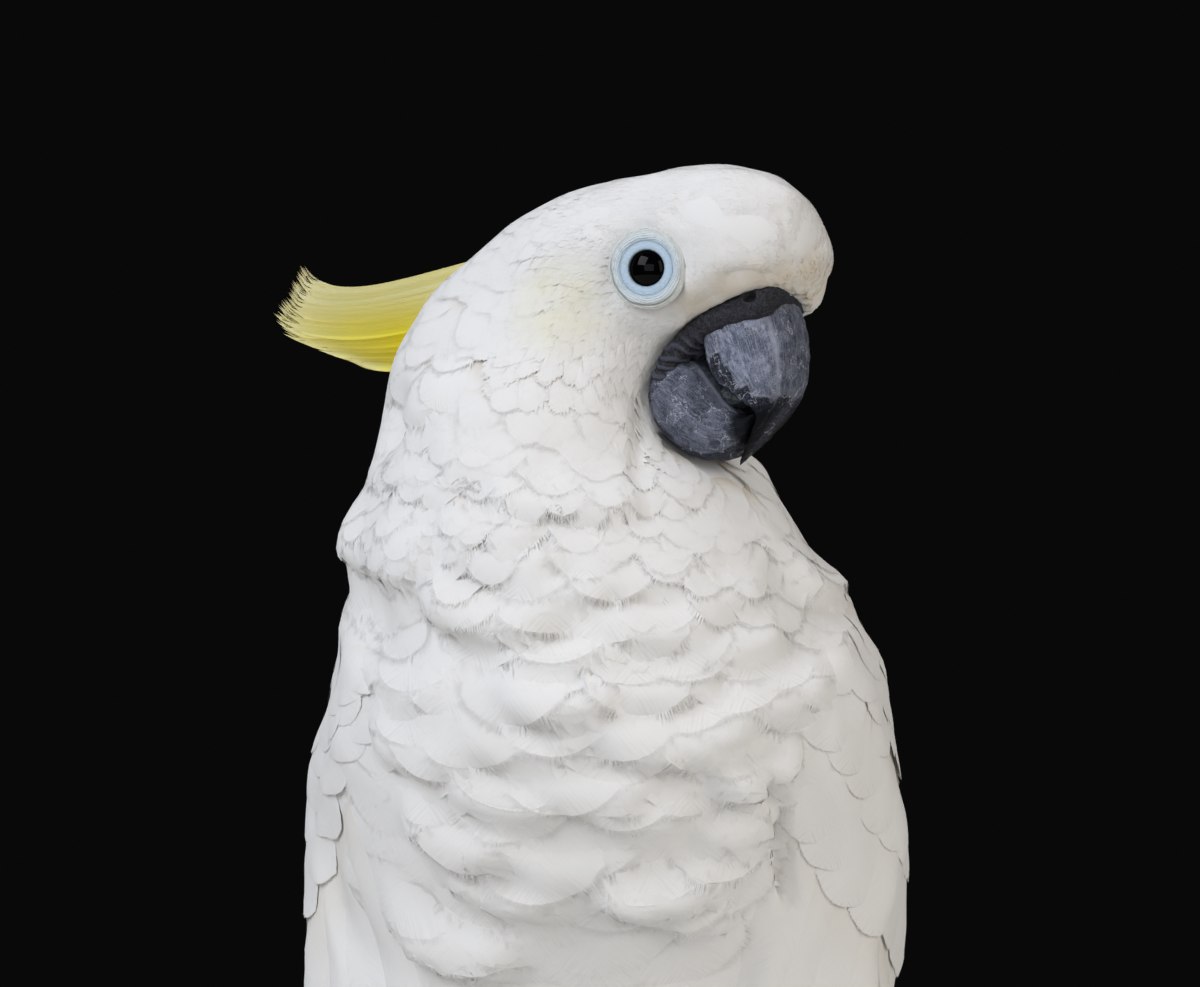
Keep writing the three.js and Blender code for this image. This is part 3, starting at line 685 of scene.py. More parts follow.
def spread(vane, length, width):
    """Each feather's points along and across it, with its own uneven fringe."""
    fringe = random.uniform(0.3, 1.2, (len(length), len(vane.shape), 1)) * vane.reach
    fringe = fringe * np.minimum(width / 20, 1.0)[:, None, None] ** 0.5
    fringe[..., 1] += random.normal(0, 0.12, fringe.shape[:2]) * vane.free
    a = vane.shape[:, 0] * length[:, None] + fringe[..., 0]
    b = vane.shape[:, 1] * width[:, None] / 2 + fringe[..., 1]
    return a, b


def make_waves(count, shortest, longest):
    """Directions and phases of waves that together make soft, uneven swells."""
    ways = unit(random.normal(0, 1, (count, 3)))
    ways = ways * 2 * np.pi / random.uniform(shortest, longest, (count, 1))
    return ways, random.uniform(0, 2 * np.pi, count)


SWELLS = make_waves(6, 26, 55)
RIPPLES = make_waves(7, 8, 17)
WING_CREASE = 2.6  # depth of the crease along the wings' front edges
WING_CREASE_TOP = 140  # where it starts, as a height over the floor


def unevenness(points, depth):
    """How the coat swells and sinks from place to place, in millimetres."""
    swells, ripples = (np.sin(points @ ways.T + phases).sum(-1) for ways, phases in (SWELLS, RIPPLES))
    return swells * depth * 0.05 + ripples * (0.05 + 0.11 * smooth(0.8, 0.4, depth))


def sink_by_wings(tips):
    """How much lower the body's feathers lie in the crease along the wings' edges."""
    _, _, height = BODY.own(tips).T
    near = smooth(8, 2, distance_to(["left_wing", "right_wing"], tips))
    return WING_CREASE * near * smooth(WING_CREASE_TOP, WING_CREASE_TOP - 6, height)


def lay(name, vane, roots, sizes, lie, level=0.0, loose_tips=0.015, tuck=0.03, untidy=0.12, arch=0.0):
    """Lays one feather from each root, as a single mesh.

    level is the tips' height over the outline and arch how far both edges turn down, in millimetres.
    loose_tips is how unevenly the tips stand and tuck how far they turn in, as shares of the depth of coat.
    """
    length, width, depth = sizes
    line, side = shafts(roots, length, random.normal(0, untidy, len(roots)), lie)
    whole = np.linalg.norm(line[:, -1] - line[:, 0], axis=1) > STRAIGHT_ENOUGH * length
    every = (roots, line, side, length, width, depth)
    roots, line, side, length, width, depth = (each[whole] for each in every)
    count = len(roots)
    a, b = spread(vane, length, width)
    station = np.clip(a / (length[:, None] * OVERRUN) * STATIONS, 0, STATIONS - 0.001)
    low = station.astype(int)
    part = (station - low)[..., None]
    row = np.arange(count)[:, None]
    spine = line[row, low] * (1 - part) + line[row, low + 1] * part
    across = side[row, low] * (1 - part) + side[row, low + 1] * part
    points, out = OUTLINE.settle(spine + across * b[..., None], rounds=2)
    t = a / length[:, None]
    deep = depth[:, None]
    stand = random.gamma(1.5, 1, count) * loose_tips * depth + level
    if lie is BODY_LIE:
        stand -= sink_by_wings(line[:, -2])
    # The root starts on the skin, the shaft rises to the outline, and the tip stands off it and curls in.
    rise = -np.minimum(0.15 * deep, CUT_CLOSER) - deep * (1 - np.minimum(t, 1)) ** 3
    rise += stand[:, None] * (t**1.3 - 0.3 * smooth(0.8, OVERRUN, t)) + unevenness(points, deep)
    rise -= deep * tuck * (smooth(0.68, OVERRUN, t) + 0.8 * t * np.minimum(np.abs(vane.shape[:, 1]), 1) ** 3)
    rise -= crease_depth(points)
    if lie is BODY_LIE:
        rise += lobe_height(points, line[:, STATIONS // 2], 1.6 * smooth(0.6, 1, t).mean(0))
    rise -= arch * np.minimum(vane.shape[:, 1] ** 2, 1) * smooth(0, 0.5, t)
    # Loose barbs hang a little lower than the vane, each by its own amount.
    rise -= random.uniform(0, 0.025, rise.shape) * vane.free * np.minimum(deep, 4)
    points = points + out * rise[..., None]
    return feather_piece(name, vane, points, a, b, length, roots)


# ---- Curves ----
def curve(points, count):
    """Points evenly along a smooth curve through the given ones."""
    points = np.asarray(points, float)
    padded = np.concatenate([2 * points[:1] - points[1:2], points, 2 * points[-1:] - points[-2:-1]])
    t = np.linspace(0, len(points) - 1.0001, count * 4)
    i = t.astype(int)
    f = (t - i)[:, None]
    p0, p1, p2, p3 = (padded[i + k] for k in range(4))
    dense = 0.5 * (2 * p1 + (p2 - p0) * f + (2 * p0 - 5 * p1 + 4 * p2 - p3) * f**2)
    dense += 0.5 * (3 * p1 - 3 * p2 + p3 - p0) * f**3
    run = np.concatenate([[0], np.cumsum(np.linalg.norm(np.diff(dense, axis=0), axis=1))])
    even = np.linspace(0, run[-1], count)
    return np.stack([np.interp(even, run, dense[:, axis]) for axis in range(points.shape[1])], -1)


def ring_faces(rings, sides):
    """Quads of a tube of closed rings."""
    ring, side = np.meshgrid(np.arange(rings - 1), np.arange(sides), indexing="ij")
    here = (ring * sides + side).ravel()
    beside = (ring * sides + (side + 1) % sides).ravel()
    return np.stack([here, beside, beside + sides, here + sides], -1)


# ---- Bill: two horns and the bare skin at their root, in the head's frame ----
HORN_RINGS = 170
HORN_SIDES = 160


def horn(name, outer, inner, width, relief):
    """A horn form between an outer and an inner profile, closed at both ends.

    relief gives the surface's height and what the material needs to know, from places in the head's frame,
    the way round the form (0 on its outer profile, 1 on its inner one) and the way along it.
    """
    rim, edge = curve(outer, HORN_RINGS), curve(inner, HORN_RINGS)
    t = np.linspace(0, 1, HORN_RINGS)[:, None]
    angle = np.linspace(0, 2 * np.pi, HORN_SIDES, endpoint=False)[None, :]
    deep = np.linalg.norm(rim - edge, axis=1)[:, None] / 2
    outward = unit(rim - edge)
    across, out = np.sin(angle), np.cos(angle)
    reach = np.where(out > 0, out, -np.abs(out) ** 0.4) * deep
    half = np.sign(across) * np.abs(across) ** 0.75 * width(t)
    ends = np.sqrt(np.clip(1 - (2 * t - 1) ** 24, 0.0004, 1))
    core = (rim + edge) / 2
    x = core[:, :1] + outward[:, :1] * reach * ends
    z = core[:, 1:] + outward[:, 1:] * reach * ends
    points = np.stack([x, half * ends, z], -1).reshape(-1, 3)
    way_round = np.broadcast_to(1 - np.abs(angle / np.pi - 1), half.shape).ravel()
    way_along = np.broadcast_to(t, half.shape).ravel()
    height, values = relief(points, way_round, way_along)
    values = {**values, "round": way_round, "along": way_along}
    faces = ring_faces(HORN_RINGS, HORN_SIDES)
    obj = new_object(name, mesh_from(name, HEAD.place(points), faces, values=values))
    set_coordinates(obj.data, coordinates(obj.data) + normals(obj.data) * height[:, None])
    return obj


def folds(points, count, shortest, longest):
    """Uneven bumps between about -1 and 1."""
    ways, phases = make_waves(count, shortest, longest)
    return np.sin(points @ ways.T + phases).sum(-1) / math.sqrt(count)


CULMEN = [(19, -4), (26.5, -5), (30.6, -11), (32.2, -20), (30.4, -29.6), (22.8, -39), (15, -46.8)]
UPPER_EDGE = [(9, -12), (7.6, -15), (8.7, -20.5), (11.5, -26.4), (18, -31.2), (22.4, -35.5), (15.2, -46.4)]
KEEL = [(-5, -29), (-5.3, -36.4), (-1, -42), (6, -45.2), (13, -45), (18.6, -41), (22.2, -34.8)]
LOWER_EDGE = [(-2, -22), (1, -21.4), (6, -21.8), (10.5, -26.8), (14.4, -32.2), (18.4, -35), (22.2, -34)]
SKIN_BACK = [(30, -2), (20, -4), (10, -8.5), (2, -15), (-4, -22.5), (-7, -33)]
SKIN_FRONT = [(29, -11), (24, -13), (13, -16), (8, -20), (3.5, -24), (-1, -33)]
LAYER_EDGE = [(8, -21), (12, -20.5), (15.5, -20.5), (19, -25), (19, -27), (24, -28), (27, -30.6), (31, -31.2)]


def upper_bill():
    """The upper mandible: a worn outer layer of horn ends in a ragged edge over the darker layer below."""

    def width(t):
        return 10.6 - 9.9 * np.clip((t - 0.35) / 0.65, 0, 1) ** 1.6

    def relief(points, way_round, way_along):
        x, z = points[:, 0], points[:, 2]
        edge = np.interp(x, *np.transpose(LAYER_EDGE)) + folds(points, 6, 2.0, 4.5) * 0.8
        # The culmen's ridge is raised, and the material paints it pale as a highlight along its edge.
        ridge = np.exp(-(((way_round - 0.24) / 0.018) ** 2)) * smooth(0.9, 0.6, way_along)
        layer = smooth(-0.12, 0.12, z - edge) * (0.5 + 0.5 * smooth(0.19, 0.25, way_round))
        lip = np.exp(-(((z - edge) / 0.2) ** 2)) * smooth(0.2, 0.25, way_round) * smooth(0.85, 0.7, way_along)
        growth = np.sin(way_along * 105 + folds(points, 5, 8, 16) * 3) * 0.05
        height = layer * 0.34 + ridge * 0.35 + growth + folds(points, 8, 1.6, 5) * 0.06
        worn = smooth(0.56, 0.7, way_along) * smooth(0.03, 0.16, way_round)
        worn = np.maximum(worn, 0.6 * smooth(0.7, 0.95, way_along))
        return height, {"layer": layer, "ridge": np.maximum(ridge, lip), "worn": worn}

    return horn("upper_bill_horn", CULMEN, UPPER_EDGE, width, relief)


def lower_bill():
    """The lower mandible, with a pale rim along its edge and a dark face where the hook wears on it."""

    def width(t):
        return 10.8 - 5.3 * np.clip((t - 0.4) / 0.6, 0, 1) ** 1.5

    def relief(points, way_round, way_along):
        rim = np.exp(-(((way_round - 0.83) / 0.035) ** 2)) * smooth(0.95, 0.8, way_along)
        arc = np.exp(-(((way_round - 0.17 - 0.1 * way_along) / 0.012) ** 2))
        layer = smooth(0.2, 0.26, way_round + 0.03 * folds(points, 5, 3, 8))
        height = layer * 0.12 + rim * 0.25 + folds(points, 9, 1.4, 5) * 0.08
        worn = smooth(0.74, 0.84, way_along)
        return height, {"layer": layer * 0.45, "ridge": rim + arc * 0.5, "worn": worn}

    return horn("lower_bill_horn", KEEL, LOWER_EDGE, width, relief)


NOSTRIL = (23.5, -6.6)


def bill_root():
    """The rough cere with its nostrils, and the loose folds of bare skin at the corner of the mouth."""

    def width(t):
        return 9.5 + 2.2 * np.sin(t * np.pi) ** 0.6

    def relief(points, way_round, way_along):
        x, z = points[:, 0], points[:, 2]
        away = np.hypot(x - NOSTRIL[0], (z - NOSTRIL[1]) * 1.3)
        # The pit is painted near black in the material, as painted shade inside the nostril.
        pit = smooth(2.0, 1.0, away)
        lip = np.exp(-(((away - 2.3) / 0.5) ** 2))
        fold = np.sin((x * 0.45 + z) * 2.1 + folds(points, 5, 5, 11) * 2.2) * smooth(-13, -20, z)
        height = fold * 0.32 + folds(points, 12, 1.2, 3.4) * 0.16 - pit * 1.5 + lip * 0.3
        return height, {"fold": fold, "pit": pit}

    return horn("bill_root_skin", SKIN_BACK, SKIN_FRONT, width, relief)


# ---- Eyes ----
EYE_RADIUS = 6.2
EYE_TOE_IN = math.radians(14)
# The bare ring's section: distance from the middle of the eye, and height over it.
EYE_RING_SECTION = [
    (4.3, 4.72), (4.6, 5.2), (5.4, 5.3), (6.3, 5.2), (6.6, 5.15), (7.2, 5.5), (7.8, 5.45), (8.4, 5.2),
    (8.8, 4.85), (9.3, 4.7), (9.75, 3.9),
]


def eye_axes(side):
    """The way out of the eye, and two ways across it, in the row frame."""
    look = unit(np.array([math.sin(EYE_TOE_IN), side * math.cos(EYE_TOE_IN), 0.05]))
    up = unit(np.array([0, 0, 1]) - look * look[2])
    return HEAD.way(np.array([up, np.cross(look, up), look]))


def eyeball(name, side):
    bpy.ops.mesh.primitive_uv_sphere_add(segments=64, ring_count=40, radius=EYE_RADIUS * MM)
    obj = bpy.context.object
    obj.name = f"{name}_eyeball"
    turn = Matrix(eye_axes(side).T.tolist()).to_4x4()
    obj.data.transform(Matrix.Translation(middle(f"{name}_eye") * MM) @ turn)
    obj.data.polygons.foreach_set("use_smooth", np.ones(len(obj.data.polygons), bool))
    return obj


def eye_ring(name, side):
    """Bare skin round the eye: a pebbled inner band, a thick pale rim and a lower outer fold."""
    radii = np.concatenate([[4.55], np.linspace(4.32, 9.75, 90)])
    angles = np.linspace(0, 2 * np.pi, 160, endpoint=False)
    r, angle = np.meshgrid(radii, angles, indexing="ij")
    height = np.interp(r, *np.transpose(EYE_RING_SECTION))
    height[0] -= 0.6
    wobble = 0.1 * np.sin(5 * angle + 1) + 0.06 * np.sin(9 * angle + 2.2) + 0.03 * np.sin(17 * angle)
    ripple = np.sin(r * 12 + 2.4 * np.sin(angle * 3) + wobble * 20)
    height = height + 0.1 * ripple * smooth(5.6, 7, r) + wobble * 0.5 * smooth(6, 8, r)
    pebbles = np.sin(angle * 46 + 2 * np.sin(r * 5)) * np.sin(r * 8 + np.sin(angle * 7))
    height = height + 0.05 * pebbles * smooth(6.9, 6.2, r)
    wide = r * (1 + 0.018 * np.sin(2 * angle + 0.6) * smooth(6, 9, r)) + wobble * smooth(6.5, 9, r)
    flat = np.stack([wide * np.cos(angle), wide * np.sin(angle), height], -1).reshape(-1, 3)
    points = flat @ eye_axes(side) + middle(f"{name}_eye")
    # low marks the lower half, where the material paints shadow in the groove.
    values = {"ring": r.ravel(), "low": smooth(0.2, -0.8, np.cos(angle + 0.4)).ravel()}
    mesh = mesh_from(f"{name}_eye_ring_skin", points, ring_faces(len(radii), len(angles)), values=values)
    return new_object(f"{name}_eye_ring_skin", mesh)


# ---- Crest, tail and other feathers that stand clear of the body ----
def loose(name, vane, lines, sides, width, cup, thick_shaft=0.0):
    """Feathers along given lines. sides is the way each spreads; cup is how far its edges turn down."""
    lines = np.asarray(lines, float)
    count, stations, _ = lines.shape
    run = np.linalg.norm(np.diff(lines, axis=1), axis=2).sum(1)
    a, b = spread(vane, run, width)
    station = np.clip(a / run[:, None] * (stations - 1), 0, stations - 1.001)
    low = station.astype(int)
    part = (a / run[:, None] * (stations - 1) - low)[..., None]
    row = np.arange(count)[:, None]
    along = unit(np.gradient(lines, axis=1))
    sides = np.broadcast_to(np.asarray(sides, float), lines.shape)
    sides = unit(sides - along * (sides * along).sum(-1, keepdims=True))
    up = np.cross(along, sides)
    spine = lines[row, low] * (1 - part) + lines[row, low + 1] * part
    across, over = sides[row, low], up[row, low]
    edge = b / (width[:, None] / 2)
    rise = -cup * edge**2 + thick_shaft * np.exp(-((b / 0.5) ** 2)) * (1 - a / run[:, None])
    points = spine + across * b[..., None] + over * rise[..., None]
    return feather_piece(name, vane, points, a, b, run, lines[:, 0])


# ---- The coat ----
MOST_TRIANGLES = 190000  # in one piece


def plumage():
    """All the feathers that cover the head, neck and body, in pieces by kind."""
    roots = scatter(BODY_LIE, (0.2, 0.42))
    roots = roots[~on_wing(roots)]
    length, width, depth = BODY_LIE.sizes(roots)
    size = random.normal(1, 0.08, len(roots))
    length, width = length * size, width * size
    kinds = {
        "fine": (Vane(2, 2, 11, barb=2.3, roundness=0.5, bare=0.3), 0, 4.5),
        "small": (Vane(4, 4, 34, barb=2.4, roundness=0.5, bare=0.25), 4.5, 9),
        "middle": (Vane(6, 6, 90, barb=2.8, roundness=0.36, bare=0.4), 9, 17),
        "broad": (Vane(9, 10, 170, barb=3.4, roundness=0.24, bare=0.5), 17, 99),
    }
    pieces = []
    for kind, (vane, least, most) in kinds.items():
        chosen = np.flatnonzero((width >= least) & (width < most))
        batches = math.ceil(len(chosen) * len(vane.faces) / MOST_TRIANGLES)
        for batch, own in enumerate(np.array_split(chosen, batches)):
            name = f"plumage_{kind}_{batch + 1}"
            pieces.append(lay(name, vane, roots[own], (length[own], width[own], depth[own]), BODY_LIE))
    return pieces


# ---- Wings: rows of feathers that overlap from the flight feathers up to the small ones at the bend ----
LEFT_ROW = [
    (57, -17, 148), (64, -10, 138), (70, 0, 128), (73, 16, 120), (70, 32, 114), (64, 48, 110), (54, 64, 108),
]
RIGHT_ROW = [
    (58, -20, 150), (66, -4, 148), (71, 6, 138), (73, 16, 128), (73, 26, 120), (70, 38, 114), (63, 52, 110),
    (53, 66, 108),
]
INNER_ROW = [(56, 4, 100), (55, 20, 86), (50, 38, 76), (42, 58, 68)]
# How long the first and last feathers of each row of coverts are. The right wing's are shorter in front.
GREATER_COVERTS = {"left": (37, 37), "right": (15, 41)}
MEDIAN_COVERTS = {"left": (27, 27), "right": (15, 29)}


def wing_rows(side):
    """The flight feathers and larger coverts of one folded wing, each row from its front edge to its back."""
    name = "left" if side > 0 else "right"
    path = np.array(LEFT_ROW if side > 0 else RIGHT_ROW, float) * [side, 1, 1]
    flat = Vane(24, 8, 70, barb=0.5, roundness=0.2, waist=0.55)
    covert = Vane(12, 10, 60, barb=0.5, roundness=0.2, waist=0.6)
    rows = [
        ("primaries", flat, np.array(INNER_ROW, float) * [side, 1, 1], 7, (80, 118), 16, 0.0, 0.9),
        ("secondaries", flat, path, 10, (74, 88), 17, 0.6, 1.3),
        ("greater_coverts", covert, path + [0, -3, 15], 10, GREATER_COVERTS[name], 22, 0.45, 0.6),
        ("median_coverts", covert, path + [-side, -4, 29], 12, MEDIAN_COVERTS[name], 18, 0.4, 0.5),
    ]
    pieces = []
    for row, vane, line, count, (first, last), wide, level, arch in rows:
        roots, _ = OUTLINE.settle(BODY.place(curve(line, count)), rounds=5)
        lengths = np.linspace(first, last, count) * random.normal(1, 0.03, count)
        sizes = lengths, np.full(count, float(wide)), np.full(count, 1.4)
        habits = {"level": level, "arch": arch, "loose_tips": 0.02, "tuck": 0.0, "untidy": 0.02}
        pieces.append(lay(f"{name}_{row}", vane, roots, sizes, WING_LIE, **habits))
    return pieces


def lesser_coverts():
    """Small feathers over the bend and the upper part of the wings."""
    roots = scatter(WING_LIE, (0.3, 0.5))
    roots = roots[on_wing(roots)]
    _, back, height = BODY.own(roots).T
    over_rows = height > 166 - 0.35 * np.maximum(back, 0)
    behind_rows = (back > 80) & (back < 128)
    roots = roots[over_rows | behind_rows]
    vane = Vane(8, 8, 40, barb=0.6, roundness=0.24, waist=0.6)
    habits = {"level": 0.2, "loose_tips": 0.02, "untidy": 0.05}
    return lay("lesser_coverts", vane, roots, WING_LIE.sizes(roots), WING_LIE, **habits)


TAIL_ROOT = (76, 56)
TAIL_LENGTH = 167
TAIL_SLOPE = math.radians(20)


def tail_feathers():
    """Twelve feathers, fanned a little and stacked with the middle pair on top."""
    place = np.arange(12) - 5.5
    outward = np.abs(place) / 6
    run = np.linspace(0, 1, 12)[None, :]
    length = TAIL_LENGTH * (1 - outward * 0.05)[:, None]
    fan = np.radians(1.55) * place[:, None]
    x = place[:, None] * 1.5 + np.sin(fan) * run * length
    forth = np.cos(fan) * run * length
    drop = -outward[:, None] * 3.2 + 1.0 + 0 * run
    y = TAIL_ROOT[0] + forth * math.cos(TAIL_SLOPE) + drop * math.sin(TAIL_SLOPE)
    z = TAIL_ROOT[1] - forth * math.sin(TAIL_SLOPE) + drop * math.cos(TAIL_SLOPE)
    lines = BODY.place(np.stack([x, y, np.maximum(z, 0.8)], -1))
    sides = BODY.way(np.stack([-np.ones(12), 0 * place, place * 0.05], -1))[:, None, :]
    vane = Vane(26, 8, 70, roundness=0.1, barb=0.8, waist=0.6)
    return loose("tail_feathers", vane, lines, sides, np.full(12, 26.0), 0.5, 0.5)


# Strands of the crest from its upper to its lower edge: places back and up in the head's frame.
CREST_GUIDES = [
    [(-50, 3), (-66, -1.2), (-79, -4.3), (-90, -5.8), (-98.5, -4.9), (-104.2, -1.4), (-107.7, 3.6)],
    [(-52, 0), (-68, -4.6), (-82, -7.8), (-94, -9), (-102, -7.8), (-106.8, -4.6), (-109.4, -0.6)],
    [(-54, -4), (-71, -8.4), (-86, -11), (-97, -11.4), (-104, -9.8), (-108, -7.4), (-110.4, -4.2)],
    [(-56, -7), (-73, -11), (-87, -13), (-99, -12.8), (-106.5, -10.8), (-110.4, -7.6), (-111.8, -4.8)],
    [(-58, -10), (-75, -13.4), (-88, -15), (-99, -14.8), (-107, -13.4), (-111.6, -11.2), (-114, -8.6)],
    [(-60, -13), (-75, -15.8), (-86, -17.2), (-96, -17.3), (-103, -16.6), (-108.5, -15.4), (-111.8, -13.6)],
    [(-63, -17), (-75, -18.8), (-83, -19.6), (-90, -19.6), (-96, -18.9), (-101, -18), (-105, -17.2)],
    [(-66, -21), (-72, -22.4), (-76, -23), (-80, -23.2), (-83, -23), (-87, -22.4), (-91, -21.6)],
]
CREST_STRANDS = 180


def crest_plumes():
    """Soft strands that sweep back from the crown. The upper ones curl up, the lower end in loose points."""
    guides = np.array([curve(guide, 30) for guide in CREST_GUIDES])
    place = np.linspace(0, 0.999, CREST_STRANDS) ** 1.1 * (len(guides) - 1)
    low = place.astype(int)
    part = (place - low)[:, None, None]
    flat = guides[low] * (1 - part) + guides[low + 1] * part
    reach = 1 - random.uniform(0, 0.015, CREST_STRANDS)
    reach -= random.uniform(0, 0.12, CREST_STRANDS) * smooth(5, 6.4, place)
    flat = np.array([curve(line[: max(int(30 * share), 8)], 24) for line, share in zip(flat, reach)])
    lean = random.uniform(-1, 1, CREST_STRANDS) * (1.5 + 0.6 * place)
    aside = lean[:, None] * np.linspace(0.3, 1, 24)
    lines = HEAD.place(np.stack([flat[..., 0], aside, flat[..., 1]], -1))
    sides = HEAD.way(np.stack([0 * lean, 0.25 * lean / 3, 1 + 0 * lean], -1))[:, None, :]
    width = random.uniform(3.6, 5.6, CREST_STRANDS) * (1 - 0.08 * place)
    width[0] = 2.2
    vane = Vane(22, 4, 0, roundness=0.06, waist=0.6, taper=12.0)
    return loose("crest_plumes", vane, lines, sides, width, 0.35)


# ---- Materials ----
def colour(code):
    """A linear colour from an sRGB hex code."""
    channels = [int(code[i : i + 2], 16) / 255 for i in (1, 3, 5)]
    return (*(c / 12.92 if c <= 0.04045 else ((c + 0.055) / 1.055) ** 2.4 for c in channels), 1)


def add(tree, kind, *values, named=None, stops=(), out=0, **settings):
    """Adds a node and gives one of its outputs.

    Values go to its inputs in order, and the named ones by name. Each is a number, a vector, a hex code, or a
    socket to link from. stops are the positions and hex codes of a colour ramp.
    """
    made = tree.nodes.new("ShaderNode" + kind)
    for name, value in settings.items():
        setattr(made, name, value)
    for key, value in [*enumerate(values), *(named or {}).items()]:
        if isinstance(value, bpy.types.NodeSocket):
            tree.links.new(value, made.inputs[key])
        else:
            made.inputs[key].default_value = colour(value) if isinstance(value, str) else value
    for _ in stops[2:]:
        made.color_ramp.elements.new(0.5)
    for number, (position, code) in enumerate(stops):
        point = made.color_ramp.elements[number]
        point.position = position
        point.color = colour(code)
    return made.outputs[out]


SOFT = {"interpolation_type": "SMOOTHSTEP"}  # a range that starts and ends softly


def material(name, **shader):
    """A material with a principled shader, whose even values are set on its own sockets."""
    made = bpy.data.materials.new(name)
    made.use_nodes = True
    tree = made.node_tree
    surface = tree.nodes["Principled BSDF"]
    for socket, value in shader.items():
        surface.inputs[socket.replace("_", " ")].default_value = value
    return made, tree, surface


def grain(tree, vector, size, stretch=(1, 1, 1), **inputs):
    """Noise whose grain is about size across, in the vector's own unit."""
    scale = tuple(1 / size / s for s in stretch)
    place = add(tree, "Mapping", vector, named={"Scale": scale})
    return add(tree, "TexNoise", place, named={"Scale": 1.0, **inputs})


def painted(tree, tone, *layers):
    """Lays colours over a tone, each given as where it shows, how strongly, and its hex code."""
    for mask, share, code in layers:
        shown = add(tree, "Math", mask, share, operation="MULTIPLY")
        tone = add(tree, "MixRGB", shown, tone, code)
    return tone


def finish(tree, surface, tone, height, strength, deep):
    """Gives a surface its colour and a fine relief, whose depth is in millimetres."""
    tree.links.new(tone, surface.inputs["Base Color"])
    relief = add(tree, "Bump", named={"Height": height, "Strength": strength, "Distance": deep * MM})
    tree.links.new(relief, surface.inputs["Normal"])


def barb_lines(tree):
    """Height of the barbs of a vane, which run outward and forward from the shaft, in its own UV map."""
    parts = add(tree, "SeparateXYZ", add(tree, "UVMap", uv_map="Vane")).node.outputs
    across = add(tree, "Math", parts["X"], operation="ABSOLUTE")
    forward = add(tree, "Math", across, 1.1, operation="MULTIPLY")
    barb = add(tree, "Math", parts["Y"], forward, operation="SUBTRACT")
    return grain(tree, add(tree, "CombineXYZ", barb, across), 0.0036, (1, 16, 1), Detail=2.0)


# The ear coverts' yellow tint and the painted shade round the bill's root: places in the head's frame, how
# far each reaches and where it is full.
EAR_TINGE = ([(-21, 21, -9)], 17, 3.4)
BILL_ROOT_SHADE = ([(33.5, 0, -1), (31, 7, -3), (27, 12, -3.5), (20, 14.5, -5.5), (12, 15, -9)], 9, 1)


def tinge_and_shade(tree, places, reach, full):
    """1 close to any of the places, on both sides of the head, fading to 0."""
    position = add(tree, "TexCoord", out="Object")
    near = 0.0
    for x, y, z in places:
        for side in SIDES.values():
            spot = tuple(HEAD.place((x, y * side, z)) * MM)
            away = add(tree, "VectorMath", position, spot, out="Value", operation="DISTANCE")
            here = add(tree, "MapRange", away, reach * MM, full * MM, **SOFT)
            near = add(tree, "Math", near, here, operation="MAXIMUM")
    return near


def feather_vane(name, roots, tips, ribs):
    """White vanes of keratin barbs: matt, warmer towards their hidden roots (yellowish down, and painted
    shade for creases where roots show), with painted shadow between the barbs at the tips.
    """
    made, tree, surface = material(name, Roughness=0.75, Specular_IOR_Level=0.25)
    along = add(tree, "Attribute", out="Fac", attribute_name="along")
    # Warmer and darker towards the roots: partly their yellowish down, partly painted shade for the creases
    # where roots show.
    tone = add(tree, "ValToRGB", along, stops=[(0.15, roots), (0.5, tips)])
    barbs = barb_lines(tree)
    # Painted shadow between the barbs, strongest at the tips where loose barbs lie over the feathers below.
    barb_gap_shade = add(tree, "MapRange", barbs, 0.52, 0.3, **SOFT)
    tip = add(tree, "MapRange", along, 0.78, 1.02, **SOFT)
    gap_shade_share = add(tree, "Math", tip, 0.32, ribs, operation="MULTIPLY_ADD")
    uneven = grain(tree, add(tree, "TexCoord", out="Object"), 6 * MM)
    ear = add(tree, "Math", tinge_and_shade(tree, *EAR_TINGE), uneven, operation="MULTIPLY")
    layers = [
        (barb_gap_shade, gap_shade_share, "#C9C4BA"),
        (ear, 0.7, "#EEE9BA"),
        # Painted shade: warm beige round the bill's root, where the feathers meet the cere.
        (tinge_and_shade(tree, *BILL_ROOT_SHADE), 0.6, "#D4C5A9"),
    ]
    finish(tree, surface, painted(tree, tone, *layers), barbs, ribs, 0.25)
    return made


def crest_strands():
    """Lemon-yellow barbs, deepest low down near their roots, cream towards the top (partly their own colour,
    partly painted highlight), and browned at the curled tips.
    """
    made, tree, surface = material("crest_barbs", Roughness=0.65, Specular_IOR_Level=0.3)
    along = add(tree, "Attribute", out="Fac", attribute_name="along")
    tone = add(tree, "ValToRGB", along, stops=[(0.35, "#F2E434"), (0.62, "#F3E96C"), (0.9, "#F2EAA6")])
    level = add(tree, "SeparateXYZ", add(tree, "TexCoord", out="Object"), out="Z")
    top = HEAD.place((-80, 0, -4))[2] * MM
    upper = add(tree, "MapRange", level, top - 12 * MM, top + 1 * MM, **SOFT)
    tip = add(tree, "MapRange", along, 0.93, 1.0, **SOFT)
    scorched = add(tree, "Math", tip, upper, operation="MULTIPLY")
    # Cream over the crest's upper part: partly its own colour, partly a painted highlight from the light
    # above.
    tone = painted(tree, tone, (upper, 0.75, "#ECE8BC"), (scorched, 0.6, "#9C7F4E"))
    strand = add(tree, "Attribute", out="Fac", attribute_name="shade")
    shade = add(tree, "Math", strand, 0.25, operation="MULTIPLY")
    tone = add(tree, "MixRGB", shade, tone, "#E2D24A", blend_type="MULTIPLY")
    finish(tree, surface, tone, barb_lines(tree), 0.5, 0.2)
    return made


def thin_lines(tree, place, size, thin):
    """Wandering hair lines: where a noise passes through its middle value."""
    level = grain(tree, place, size, Detail=5.0, Roughness=0.6)
    above = add(tree, "Math", level, 0.5, operation="SUBTRACT")
    away = add(tree, "Math", above, operation="ABSOLUTE")
    return add(tree, "MapRange", away, thin, thin * 0.2, **SOFT)


